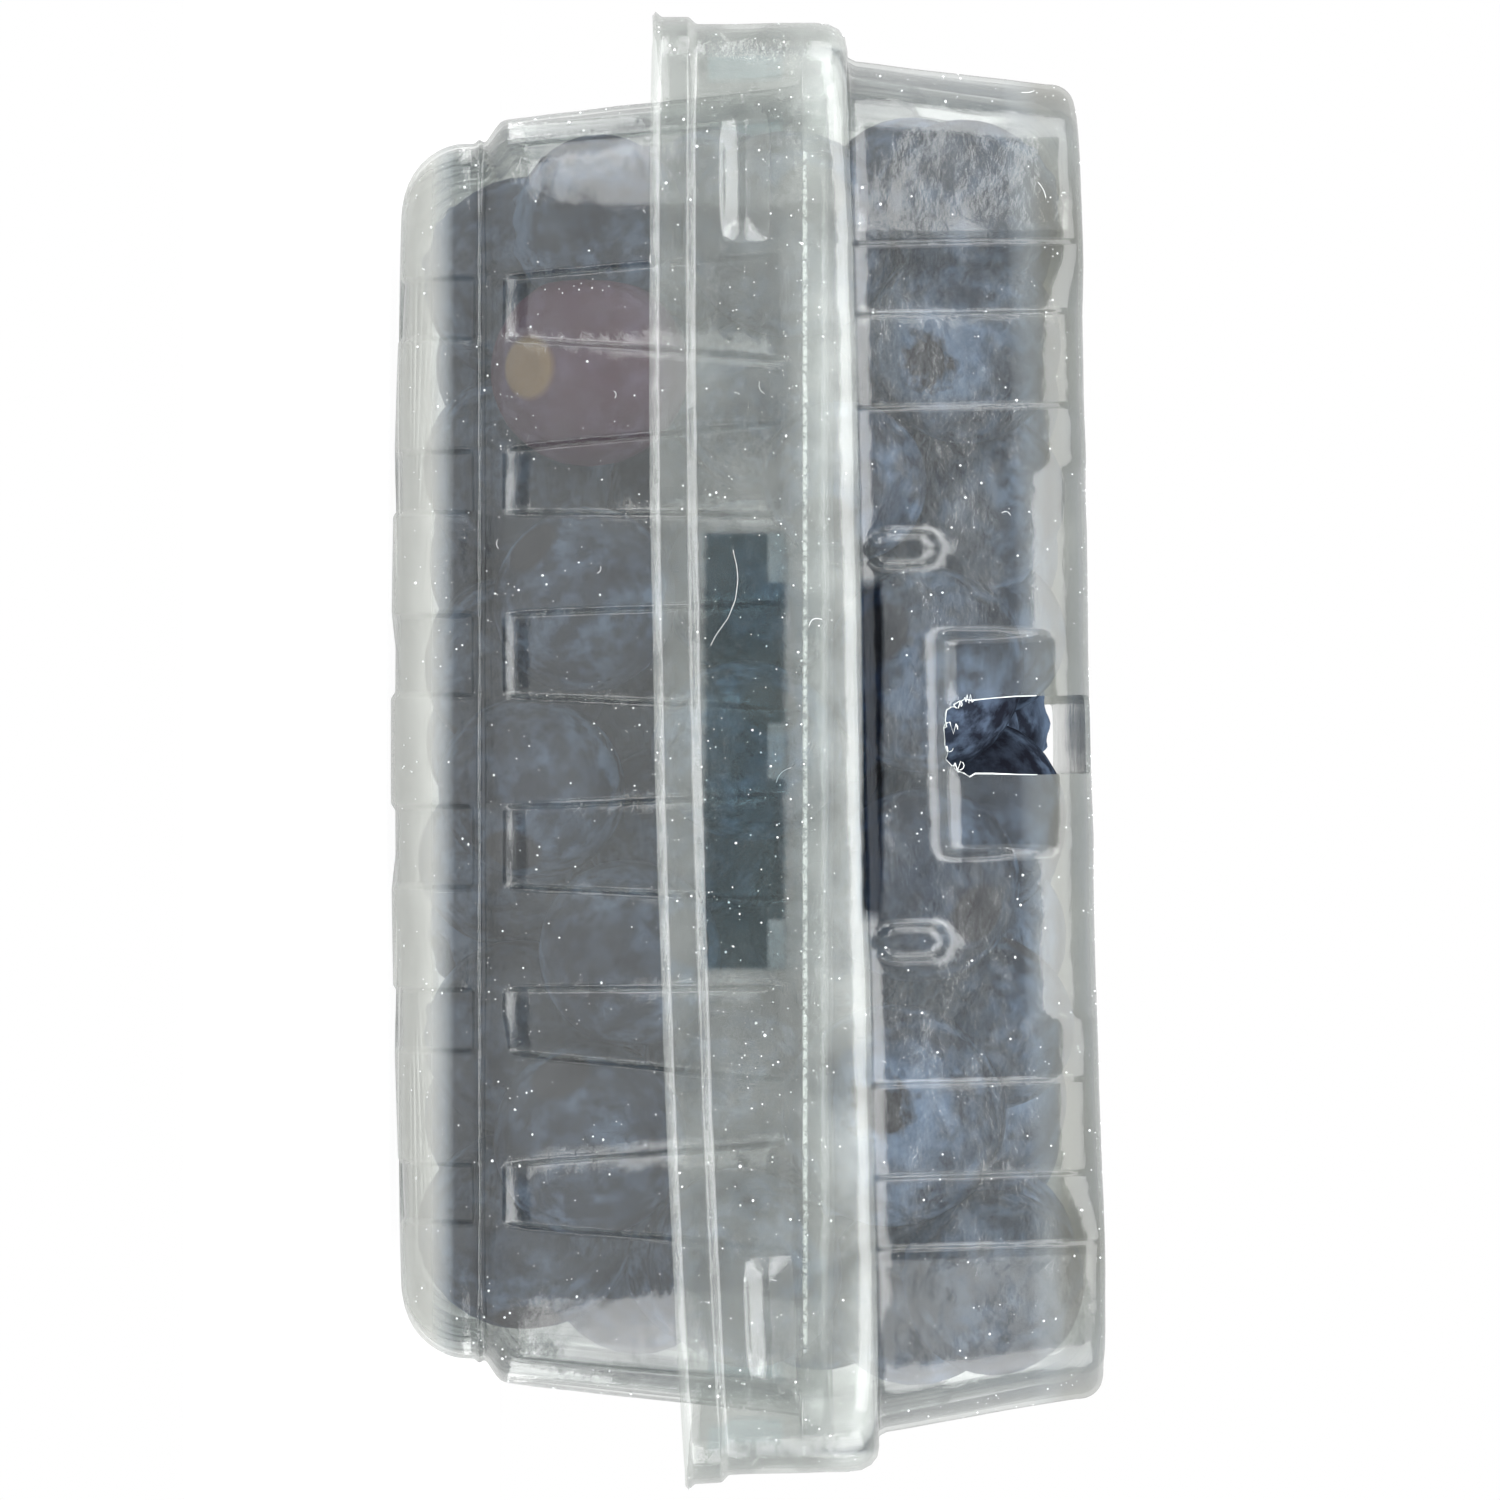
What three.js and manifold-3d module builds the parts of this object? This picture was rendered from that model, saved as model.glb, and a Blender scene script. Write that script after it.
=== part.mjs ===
// Clear punnet of blueberries: a square formed tray, its pressed-on lid and the berries inside.
// Millimetres, +Z up, origin under the middle of the base, near side at -Y.

import * as THREE from 'three';
import { mergeVertices } from 'three/addons/utils/BufferGeometryUtils.js';
import Module from 'manifold-3d';

const wasm = await Module();
wasm.setup();

// Both formed sheets
const SHEET = 0.5;
const CLEAR = 0.35;
const SIDES = 4;
const CORNER_TURNS = [38, 52];

// Tray, each half width measured from the middle to a rib on a flat side
const REST_HALF = 12;
const REST_CORNER = 8.4;
const FLOOR_EDGE_HALF = 43.9;
const FLOOR_EDGE_EASE = 2;
const FLOOR_BOW = 0.8;
const FOOT_RADIUS = 6;
const FOOT_TURNS = [35, 65];
const FOOT_HALF = FLOOR_EDGE_HALF + FOOT_RADIUS;
const FOOT_WALL_Z = 6.7;
const FOOT_TOP_Z = 7.7;
const STEP_HALF = 51.7;
const STEP_TOP_Z = 9.0;
const CHANNEL_START_HALF = 51.9;
const CHANNEL_START_Z = 10.7;
const CHANNEL_END_HALF = 54.3;
const CHANNEL_END_Z = 31.6;
const WALL_TOP_HALF = 54.5;
const WALL_TOP_Z = 33.2;

// Rolled rim of the tray, outwards and down from the top of the wall, as [half width, height]
const RIM_TURN = [[54.5, 33.2], [55.2, 35.3], [56.0, 35.95], [57.0, 35.65], [57.3, 33.7]];

// Tray ribs on one half of a side, as [inner edge, outer edge] at the foot and at the top
const TRAY_RIBS_FOOT = [[0, 4.2], [11.4, 19.1], [24.8, 33.3]];
const TRAY_RIBS_TOP = [[0, 3.1], [12.4, 18.8], [27.1, 31.4]];
const TRAY_CORNER_FOOT = 38.8;
const TRAY_CORNER_TOP = 40.8;
const RIB_FLANK = 0.9;
const FLOOR_SINK = 0.35;
const FOOT_SINK = 0.9;
const WALL_SINK = 1.0;
const LEDGE_SINK = 0.1;
const RIM_STOPS = [0.4, 1];

// Lid, in its own level frame before it is tipped
const SKIRT_EDGE_Z = 21.8;
const SKIRT_FLARE_HALF = 60.1;
const SKIRT_FLARE_TOP_Z = 22.5;
const SKIRT_LIP_HALF = 59.6;
const SKIRT_LIP_TOP_Z = 24.6;
const SKIRT_STEP_TOP_Z = 25.1;
const SKIRT_HALF = 59.0;
const SKIRT_BOW = 1.1;
const SKIRT_ROUND = 9.5;
const SHOULDER_Z = 37.35;
const SHOULDER_ROUND = 1.2;
const SHOULDER_INNER_HALF = 56.8;
const LID_FOOT_HALF = 56.4;
const LID_FOOT_Z = 38.1;
const LID_TOP_HALF = 54.1;
const LID_TOP_Z = 56.0;
const LID_DOME = 0.4;
const LID_CORNER = 41.0;
const LID_RIBS = [[27.7, 34.6]];
const LID_RIB_PROUD = 0.6;
const PANEL_EDGE = 21.5;
const PANEL_FLANK = 1.2;
const PANEL_ROUND = 2.6;
const LID_ROUND = 5.8;
const LID_TURNS = [0, 35, 65, 90];
const PANEL_LEAN = 0.4;
const SKIRT_STOPS = [0.3, 0.65, 1];
const LID_TIP_DEG = 1.3;

// Vent pocket and slot, stacking lugs and snap bumps, alike on all four sides of the lid
const POCKET_HALF = 9.3;
const POCKET_FOOT_Z = 43.1;
const POCKET_FACE = 52.9;
const SLOT_HALF = 3.15;
const SLOT_FOOT_Z = 43.9;
const SLOT_ON_TOP = 6.5;
const CUT_REACH = 15;
const WALL_CUT_DEPTH = 3;
const TOP_CUT_DEPTH = 3.5;
const ABOVE_ALL = 60;
const LUG_AT = 15.9;
const LUG_FOOT_Z = 37.8;
const LUG_TOP_Z = 44.1;
const LUG_WIDTH = 3.4;
const LUG_PROUD = 1.3;
const BUMP_FROM = 40.9;
const BUMP_TO = 50.5;
const BUMP_Z = 28.7;
const BUMP_RADIUS = 1.7;
const BUMP_HOLLOW = 1.1;

// Berries
const BERRY_SEED = 4127;
const BERRY_LAYERS = 4;
const BERRIES_ACROSS = 6;
const BERRY_RADIUS = 8.25;
const BERRY_SPREAD = 1.0;
const BERRY_JITTER = 2.0;
const FIRST_LAYER_Z = 10;
const LAYER_PITCH = 12;
const SETTLE_PASSES = 300;
const WALL_PULL = 0.12;
const PULL_PASSES = 200;
const TAKEN_WITHIN = 8.0;
const HEAP_FOOT_Z = 1.9;
const HEAP_CORNER = 2.5;
const CORE_HALF = 42.2;
const CORE_FOOT_Z = 7.6;
const CORE_TOP_Z = 48.8;
const CORE_ROUND = 6;

// The berries that lie against the near wall where they show best: place along it, height, radius
const NEAR_BERRIES = [
  { name: 'reddish', x: -31.3, z: 16.3, radius: 8.2 },
  { name: 'lower middle', x: -12.4, z: 15.9, radius: 7.9 },
  { name: 'lowest', x: 3.0, z: 11.5, radius: 7.8 },
  { name: 'right of the lowest', x: 16.6, z: 19.6, radius: 7.7 },
  { name: 'lower right', x: 31.9, z: 16.3, radius: 8.2 },
  { name: 'crowned left', x: -33.5, z: 47.0, radius: 8.2 },
  { name: 'small', x: -22.0, z: 37.2, radius: 6.8 },
  { name: 'upper middle', x: -6.7, z: 43.8, radius: 8.5 },
  { name: 'beside the vent', x: 11.0, z: 43.5, radius: 8.3 },
  { name: 'crowned right', x: 29.9, z: 41.2, radius: 9.2 },
];

const COLOURS = {
  base_tray: 0xc9d1cf,
  lid: 0xcdd4d2,
  berries: 0x3b465c,
};

function radians(degrees) {
  return THREE.MathUtils.degToRad(degrees);
}

function mix(from, to, share) {
  return from + (to - from) * share;
}

// A point on one of the four sides: along it, out from the middle, and up
function sidePoint(side, along, out, up) {
  let x = along;
  let y = -out;
  for (let turn = 0; turn < side; turn++) {
    [x, y] = [-y, x];
  }
  return new THREE.Vector3(x, y, up);
}

// Both halves of a side from a list of columns on its right half
function bothHalves(columns) {
  const left = columns.map((column) => ({ ...column, at: -column.at })).reverse();
  return [...left, ...columns];
}

// A ring round all four sides: columns along the flats, then a rounded corner.
// 'shape' gives the [out, up] of a column, and 'corner' the place of the arc that turns it.
function planRing(columns, cornerAt, half, up, shape) {
  const ring = [];
  const round = half - cornerAt;
  for (let side = 0; side < SIDES; side++) {
    for (const column of bothHalves(columns)) {
      const [out, height] = shape(column, side);
      ring.push(sidePoint(side, column.at, out, height));
    }
    for (const degrees of CORNER_TURNS) {
      const along = cornerAt + round * Math.sin(radians(degrees));
      const out = cornerAt + round * Math.cos(radians(degrees));
      ring.push(sidePoint(side, along, out, up));
    }
  }
  return ring;
}

// Share of a full turn from one ring point round to another; a point just behind is below zero
function turnShare(point, start) {
  const angle = Math.atan2(point.y, point.x) - Math.atan2(start.y, start.x);
  const share = angle / (2 * Math.PI);
  const slack = 0.05;
  return share < -slack ? share + 1 : share;
}

// Triangles between two closed rings, stepping along whichever lags behind
function joinRings(lower, upper, points, faces) {
  const alike = lower.length === upper.length;
  const shareOf = (ring, step) => {
    if (alike) {
      return step / ring.length;
    }
    const whole = step === ring.length ? 1 : 0;
    return whole + turnShare(points[ring[step % ring.length]], points[lower[0]]);
  };
  const pick = (ring, step) => ring[step % ring.length];
  let a = 0;
  let b = 0;
  while (a < lower.length || b < upper.length) {
    const lowerNext = a < lower.length ? shareOf(lower, a + 1) : 2;
    const upperNext = b < upper.length ? shareOf(upper, b + 1) : 2;
    if (lowerNext <= upperNext) {
      faces.push([pick(lower, a), pick(lower, a + 1), pick(upper, b)]);
      a += 1;
    } else {
      faces.push([pick(lower, a), pick(upper, b + 1), pick(upper, b)]);
      b += 1;
    }
  }
}

// An open skin through a list of rings, where a ring of one point is a pole
function skin(rings) {
  const points = [];
  const numbered = rings.map((ring) => ring.map((point) => points.push(point) - 1));
  const faces = [];
  for (let step = 0; step + 1 < numbered.length; step++) {
    const lower = numbered[step];
    const upper = numbered[step + 1];
    if (lower.length === 1) {
      upper.forEach((corner, i) => faces.push([lower[0], upper[(i + 1) % upper.length], corner]));
    } else if (upper.length === 1) {
      lower.forEach((corner, i) => faces.push([corner, lower[(i + 1) % lower.length], upper[0]]));
    } else {
      joinRings(lower, upper, points, faces);
    }
  }
  return { points, faces, numbered };
}

// The skin moved back by one sheet thickness along its normals
function backOf({ points, faces }) {
  const normals = points.map(() => new THREE.Vector3());
  for (const [a, b, c] of faces) {
    const edge = points[b].clone().sub(points[a]);
    const normal = edge.cross(points[c].clone().sub(points[a]));
    for (const corner of [a, b, c]) {
      normals[corner].add(normal);
    }
  }
  return points.map((point, i) => point.clone().addScaledVector(normals[i].normalize(), -SHEET));
}

function solidFrom(points, faces) {
  const mesh = new wasm.Mesh({
    numProp: 3,
    vertProperties: new Float32Array(points.flatMap((point) => point.toArray())),
    triVerts: new Uint32Array(faces.flat()),
  });
  return new wasm.Manifold(mesh);
}

// A sheet of even thickness behind a skin whose open edge is its first or its last ring
function sheetSolid(rings, edgeIsFirst) {
  const front = skin(rings);
  const count = front.points.length;
  const points = [...front.points, ...backOf(front)];
  const backFaces = front.faces.map(([a, b, c]) => [a + count, c + count, b + count]);
  const faces = [...front.faces, ...backFaces];
  const edge = edgeIsFirst ? front.numbered[0] : front.numbered[front.numbered.length - 1];
  const backEdge = edge.map((corner) => corner + count);
  if (edgeIsFirst) {
    joinRings(backEdge, edge, points, faces);
  } else {
    joinRings(edge, backEdge, points, faces);
  }
  return solidFrom(points, faces);
}

function manifoldOf(geometry) {
  const bare = geometry.clone();
  bare.deleteAttribute('normal');
  bare.deleteAttribute('uv');
  const merged = mergeVertices(bare, 1e-4);
  const mesh = new wasm.Mesh({
    numProp: 3,
    vertProperties: new Float32Array(merged.attributes.position.array),
    triVerts: new Uint32Array(merged.index.array),
  });
  return new wasm.Manifold(mesh);
}

function geometryOf(solid) {
  const { numProp, vertProperties, triVerts } = solid.getMesh();
  const positions = [];
  for (let i = 0; i < vertProperties.length; i += numProp) {
    positions.push(vertProperties[i], vertProperties[i + 1], vertProperties[i + 2]);
  }
  const geometry = new THREE.BufferGeometry();
  geometry.setAttribute('position', new THREE.Float32BufferAttribute(positions, 3));
  geometry.setIndex([...triVerts]);
  geometry.computeVertexNormals();
  return geometry;
}

// Tray: columns of one half side at a share of the way up the wall
function trayColumns(share) {
  const columns = [];
  TRAY_RIBS_FOOT.forEach((footRib, i) => {
    const inner = mix(footRib[0], TRAY_RIBS_TOP[i][0], share);
    const outer = mix(footRib[1], TRAY_RIBS_TOP[i][1], share);
    if (inner > 0) {
      columns.push({ at: inner - RIB_FLANK, sunk: 1 });
      columns.push({ at: inner, sunk: 0 });
    }
    columns.push({ at: outer, sunk: 0 });
    columns.push({ at: outer + RIB_FLANK, sunk: 1 });
  });
  const corner = mix(TRAY_CORNER_FOOT, TRAY_CORNER_TOP, share);
  columns.push({ at: corner - RIB_FLANK, sunk: 1 });
  columns.push({ at: corner, sunk: 0 });
  return { columns, corner };
}

// The base hangs lowest along the middle of each side and rises towards the corners
function floorBow(at) {
  return FLOOR_BOW * (at / TRAY_CORNER_FOOT) ** 2;
}

// One ring of the tray, its channels sunk in by 'sink' or, under the base, up by 'lift'
function trayRing(half, up, { share = 0, sink = 0, lift = 0, bow = 0 }) {
  const { columns, corner } = trayColumns(share);
  const shape = ({ at, sunk }) => [half - sunk * sink, up + sunk * lift + bow * floorBow(at)];
  return planRing(columns, corner, half, up + bow * FLOOR_BOW, shape);
}

// A plain ring with few points, for the floor's middle and the rims
function plainRing(half, cornerAt, up, stops, drop = () => 0) {
  const columns = stops.map((share) => ({ at: share * cornerAt }));
  return planRing(columns, cornerAt, half, up, ({ at }, side) => [half, up + drop(at, side)]);
}

// The floor's ribs draw together towards the middle, so its rings are scaled copies
function floorRing(half) {
  const { columns, corner } = trayColumns(0);
  const scale = half / FLOOR_EDGE_HALF;
  const drawn = columns.map((column) => ({ ...column, at: column.at * scale }));
  const shape = ({ at, sunk }) => [half, sunk * FLOOR_SINK + floorBow(at)];
  return planRing(drawn, corner * scale, half, floorBow(corner * scale), shape);
}

function footPoint(degrees) {
  const half = FLOOR_EDGE_HALF + FOOT_RADIUS * Math.sin(radians(degrees));
  const up = FOOT_RADIUS * (1 - Math.cos(radians(degrees)));
  return { half, up };
}

function trayRings() {
  const rings = [[new THREE.Vector3(0, 0, 0)]];
  rings.push(plainRing(REST_HALF, REST_CORNER, 0, [0, 1]));
  rings.push(floorRing(FLOOR_EDGE_HALF - FLOOR_EDGE_EASE));
  for (const degrees of FOOT_TURNS) {
    const { half, up } = footPoint(degrees);
    const sink = FOOT_SINK * Math.sin(radians(degrees));
    const lift = FLOOR_SINK * Math.cos(radians(degrees));
    rings.push(trayRing(half, up, { sink, lift, bow: 1 - up / FOOT_TOP_Z }));
  }
  const share = (up) => (up - STEP_TOP_Z) / (WALL_TOP_Z - STEP_TOP_Z);
  const channel = (up) => ({ share: share(up), sink: WALL_SINK });
  rings.push(trayRing(FOOT_HALF, FOOT_WALL_Z, { sink: FOOT_SINK }));
  rings.push(trayRing(FOOT_HALF + LEDGE_SINK, FOOT_TOP_Z, { sink: LEDGE_SINK }));
  rings.push(trayRing(STEP_HALF, STEP_TOP_Z, { sink: LEDGE_SINK }));
  rings.push(trayRing(CHANNEL_START_HALF, CHANNEL_START_Z, channel(CHANNEL_START_Z)));
  rings.push(trayRing(CHANNEL_END_HALF, CHANNEL_END_Z, channel(CHANNEL_END_Z)));
  for (const [half, up] of RIM_TURN) {
    rings.push(plainRing(half, TRAY_CORNER_TOP, up, RIM_STOPS));
  }
  return rings;
}

// The skirt's free edge hangs lower in the middle of the near and far sides than at their ends
function skirtRing(half, up, bowShare) {
  const bow = (at, side) => (side % 2 ? 0 : -SKIRT_BOW * bowShare * (1 - (at / SKIRT_HALF) ** 2));
  return plainRing(half, SKIRT_HALF - SKIRT_ROUND, up, SKIRT_STOPS, bow);
}

// Lid: columns of one half side of its wall, with ribs proud and the middle panel marked
function lidColumns() {
  const columns = [
    { at: PANEL_EDGE, proud: 0, panel: 1 },
    { at: PANEL_EDGE + PANEL_FLANK, proud: 0, panel: 0 },
  ];
  for (const [inner, outer] of LID_RIBS) {
    columns.push({ at: inner - RIB_FLANK, proud: 0, panel: 0 });
    columns.push({ at: inner, proud: 1, panel: 0 });
    columns.push({ at: outer, proud: 1, panel: 0 });
    columns.push({ at: outer + RIB_FLANK, proud: 0, panel: 0 });
  }
  columns.push({ at: LID_CORNER - RIB_FLANK, proud: 0, panel: 0 });
  columns.push({ at: LID_CORNER, proud: 1, panel: 0 });
  return columns;
}

function lidWallRing(half, up) {
  const shape = ({ proud }) => [half - LID_RIB_PROUD * (1 - proud), up];
  return planRing(lidColumns(), LID_CORNER, half, up, shape);
}

// The edge between wall and top is rounded widely, but tightly on the middle panel
function lidEdgeRing(degrees) {
  const turned = (round) => [
    LID_TOP_HALF - round * (1 - Math.cos(radians(degrees))),
    LID_TOP_Z - round * (1 - Math.sin(radians(degrees))),
  ];
  const [half, up] = turned(LID_ROUND);
  const level = Math.cos(radians(degrees));
  const shape = ({ proud, panel }) => {
    const [out, height] = turned(panel ? PANEL_ROUND : LID_ROUND);
    return [out - LID_RIB_PROUD * (1 - proud) * level * (panel ? PANEL_LEAN : 1), height];
  };
  return planRing(lidColumns(), LID_CORNER, half, up, shape);
}

function lidBodyRings() {
  const rings = [lidWallRing(LID_FOOT_HALF, LID_FOOT_Z)];
  for (const degrees of LID_TURNS) {
    rings.push(lidEdgeRing(degrees));
  }
  rings.push(plainRing(LID_TOP_HALF / 2, LID_CORNER / 2, LID_TOP_Z + LID_DOME * 0.8, [0.5, 1]));
  rings.push([new THREE.Vector3(0, 0, LID_TOP_Z + LID_DOME)]);
  return rings;
}

function lidRings() {
  const rings = [
    skirtRing(SKIRT_FLARE_HALF, SKIRT_EDGE_Z, 1),
    skirtRing(SKIRT_LIP_HALF, SKIRT_FLARE_TOP_Z, 1),
    skirtRing(SKIRT_LIP_HALF, SKIRT_LIP_TOP_Z, 0.9),
    skirtRing(SKIRT_HALF, SKIRT_STEP_TOP_Z, 0.85),
    skirtRing(SKIRT_HALF, SHOULDER_Z - SHOULDER_ROUND, 0.1),
    skirtRing(SKIRT_HALF - SHOULDER_ROUND * 0.35, SHOULDER_Z - SHOULDER_ROUND * 0.3, 0),
    skirtRing(SKIRT_HALF - SHOULDER_ROUND, SHOULDER_Z, 0),
  ];
  rings.push(plainRing(SHOULDER_INNER_HALF, LID_CORNER, SHOULDER_Z, SKIRT_STOPS));
  return [...rings, ...lidBodyRings()];
}

// A block in side coordinates, turned to one of the four sides
function sideBlock(side, along, out, up) {
  const size = [along, out, up].map(([low, high]) => high - low);
  const geometry = new THREE.BoxGeometry(...size);
  const middle = [along, out, up].map(([low, high]) => (low + high) / 2);
  geometry.translate(middle[0], -middle[1], middle[2]);
  geometry.rotateZ(radians(90 * side));
  return manifoldOf(geometry);
}

// A flat prism with one round end, cut through the wall or through the top
function roundEnded(side, depth, placeShape) {
  const outline = new THREE.Shape();
  outline.moveTo(-SLOT_HALF, CUT_REACH);
  outline.lineTo(-SLOT_HALF, SLOT_HALF);
  outline.absarc(0, SLOT_HALF, SLOT_HALF, Math.PI, 2 * Math.PI, false);
  outline.lineTo(SLOT_HALF, CUT_REACH);
  outline.closePath();
  const geometry = new THREE.ExtrudeGeometry(outline, { depth, bevelEnabled: false, curveSegments: 5 });
  placeShape(geometry);
  geometry.rotateZ(radians(90 * side));
  return manifoldOf(geometry);
}

function ventSlot(side) {
  const throughWall = roundEnded(side, CUT_REACH, (geometry) => {
    geometry.rotateX(radians(90));
    geometry.translate(0, -(LID_TOP_HALF - WALL_CUT_DEPTH), SLOT_FOOT_Z);
  });
  const throughTop = roundEnded(side, CUT_REACH, (geometry) => {
    geometry.rotateZ(radians(180));
    geometry.translate(0, -(LID_TOP_HALF - SLOT_ON_TOP), LID_TOP_Z - TOP_CUT_DEPTH);
  });
  return throughWall.add(throughTop);
}

// A pill shape lying on a wall, 'lengthways' up it or along it
function pill(side, radius, straight, squash, along, out, up, upright) {
  const geometry = new THREE.CapsuleGeometry(radius, straight, 2, 8);
  if (upright) {
    geometry.rotateX(radians(90));
  } else {
    geometry.rotateZ(radians(90));
  }
  geometry.scale(1, squash, 1);
  geometry.translate(along, -out, up);
  geometry.rotateZ(radians(90 * side));
  return manifoldOf(geometry);
}

function lidWallHalf(up) {
  return mix(LID_FOOT_HALF, LID_TOP_HALF, (up - LID_FOOT_Z) / (LID_TOP_Z - LID_ROUND - LID_FOOT_Z));
}

function lugs(side, cavity) {
  const radius = LUG_WIDTH / 2;
  const straight = LUG_TOP_Z - LUG_FOOT_Z - LUG_WIDTH;
  const up = (LUG_TOP_Z + LUG_FOOT_Z) / 2;
  const out = lidWallHalf(up) - LID_RIB_PROUD;
  const pair = [-LUG_AT, LUG_AT].map((along) =>
    pill(side, radius, straight, (LUG_PROUD + 0.2) / radius, along, out, up, true));
  return pair[0].add(pair[1]).subtract(cavity);
}

function bumps(side, radius, out) {
  const straight = BUMP_TO - BUMP_FROM - 2 * BUMP_RADIUS;
  const middle = (BUMP_FROM + BUMP_TO) / 2;
  const pair = [-middle, middle].map((along) =>
    pill(side, radius, straight, 1, along, out, BUMP_Z, false));
  return pair[0].add(pair[1]);
}

// The full solid inside a lid skin, closed off at its foot
function filled(rings, footZ) {
  const { points, faces } = skin([[new THREE.Vector3(0, 0, footZ)], ...rings]);
  return solidFrom(points, faces);
}

function lidSolid() {
  const envelope = filled(lidBodyRings(), LID_FOOT_Z);
  const skirtEnvelope = filled(lidRings(), SKIRT_EDGE_Z);
  let lid = sheetSolid(lidRings(), true);
  const cavity = envelope.subtract(lid);
  for (let side = 0; side < SIDES; side++) {
    const across = [-POCKET_HALF, POCKET_HALF];
    const acrossPan = [-POCKET_HALF - SHEET, POCKET_HALF + SHEET];
    const inner = sideBlock(side, across, [POCKET_FACE, ABOVE_ALL], [POCKET_FOOT_Z, ABOVE_ALL]);
    const faces = [POCKET_FACE - SHEET, ABOVE_ALL];
    const outer = sideBlock(side, acrossPan, faces, [POCKET_FOOT_Z - SHEET, ABOVE_ALL]);
    const pan = outer.intersect(envelope).subtract(inner);
    lid = lid.subtract(inner).add(pan);
    lid = lid.subtract(ventSlot(side));
    lid = lid.add(lugs(side, cavity));
    lid = lid.add(bumps(side, BUMP_RADIUS, SKIRT_HALF - SHEET).intersect(skirtEnvelope));
    lid = lid.subtract(bumps(side, BUMP_HOLLOW, SKIRT_HALF));
  }
  return lid;
}

// Seeded draws between 0 and 1
let drawState = BERRY_SEED;
function draw() {
  drawState = (drawState * 16807) % 2147483647;
  return drawState / 2147483647;
}

// Half width that the walls leave at a height, less the sheet, its channels and the clearance
function roomAt(up) {
  const lost = SHEET + WALL_SINK + CLEAR;
  if (up > LID_FOOT_Z - 1.5) {
    return lidWallHalf(Math.max(up, LID_FOOT_Z)) - lost - 0.3;
  }
  if (up > STEP_TOP_Z) {
    return mix(STEP_HALF, WALL_TOP_HALF, (up - STEP_TOP_Z) / (WALL_TOP_Z - STEP_TOP_Z)) - lost;
  }
  const rise = Math.max(0, FOOT_RADIUS - Math.max(up - FLOOR_BOW, 0));
  const bulge = Math.sqrt(Math.max(0, FOOT_RADIUS * FOOT_RADIUS - rise * rise));
  return FLOOR_EDGE_HALF + bulge - lost;
}

// How far from the middle a berry's centre may lie
function roomFor(berry, beside) {
  let room = 1000;
  for (const share of [-0.8, -0.6, -0.4, -0.2, 0, 0.2, 0.4, 0.6, 0.8]) {
    const up = berry.z + share * berry.radius;
    const reach = berry.radius * Math.sqrt(1 - share * share);
    room = Math.min(room, roomAt(up) - reach);
  }
  const nearPocket = Math.abs(beside) < POCKET_HALF + berry.radius * 0.8;
  if (nearPocket && berry.z + berry.radius * 0.6 > POCKET_FOOT_Z) {
    room = Math.min(room, POCKET_FACE - SHEET - CLEAR - 0.3 - berry.radius);
  }
  return room;
}

function lidUndersideZ(x) {
  return LID_TOP_Z - SHEET - CLEAR - 0.3 + (x + SKIRT_HALF) * Math.sin(radians(LID_TIP_DEG));
}

// Keep a berry inside the box: walls, rounded corners, floor and lid
function keepInside(berry) {
  const lowest = HEAP_FOOT_Z + berry.radius;
  const highest = lidUndersideZ(berry.x) - berry.radius;
  berry.z = Math.min(Math.max(berry.z, lowest), highest);
  const roomX = roomFor(berry, berry.y);
  const roomY = roomFor(berry, berry.x);
  berry.x = Math.min(Math.max(berry.x, -roomX), roomX);
  berry.y = Math.min(Math.max(berry.y, -roomY), roomY);
  const overX = Math.abs(berry.x) - (roomX - HEAP_CORNER);
  const overY = Math.abs(berry.y) - (roomY - HEAP_CORNER);
  if (overX > 0 && overY > 0) {
    const over = Math.sqrt(overX * overX + overY * overY);
    if (over > HEAP_CORNER) {
      const keep = HEAP_CORNER / over;
      berry.x = Math.sign(berry.x) * (roomX - HEAP_CORNER + overX * keep);
      berry.y = Math.sign(berry.y) * (roomY - HEAP_CORNER + overY * keep);
    }
  }
}

// Push two berries apart where they overlap, leaving the ones that are held in place
function pushApart(one, other) {
  const dx = other.x - one.x;
  const dy = other.y - one.y;
  const dz = other.z - one.z;
  const reach = one.radius + other.radius;
  const squared = dx * dx + dy * dy + dz * dz;
  if (squared >= reach * reach) {
    return;
  }
  const distance = Math.sqrt(squared) + 1e-6;
  const push = (reach - distance) / distance / ((one.held ? 0 : 1) + (other.held ? 0 : 1) || 1);
  if (!one.held) {
    one.x -= dx * push;
    one.y -= dy * push;
    one.z -= dz * push;
  }
  if (!other.held) {
    other.x += dx * push;
    other.y += dy * push;
    other.z += dz * push;
  }
}

// Ease a berry that lies near a wall out against it
function drawToWalls(berry) {
  for (const axis of ['x', 'y']) {
    if (Math.abs(berry[axis]) > CORE_HALF - 2 * BERRY_RADIUS) {
      berry[axis] += Math.sign(berry[axis]) * WALL_PULL;
    }
  }
}

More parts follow.
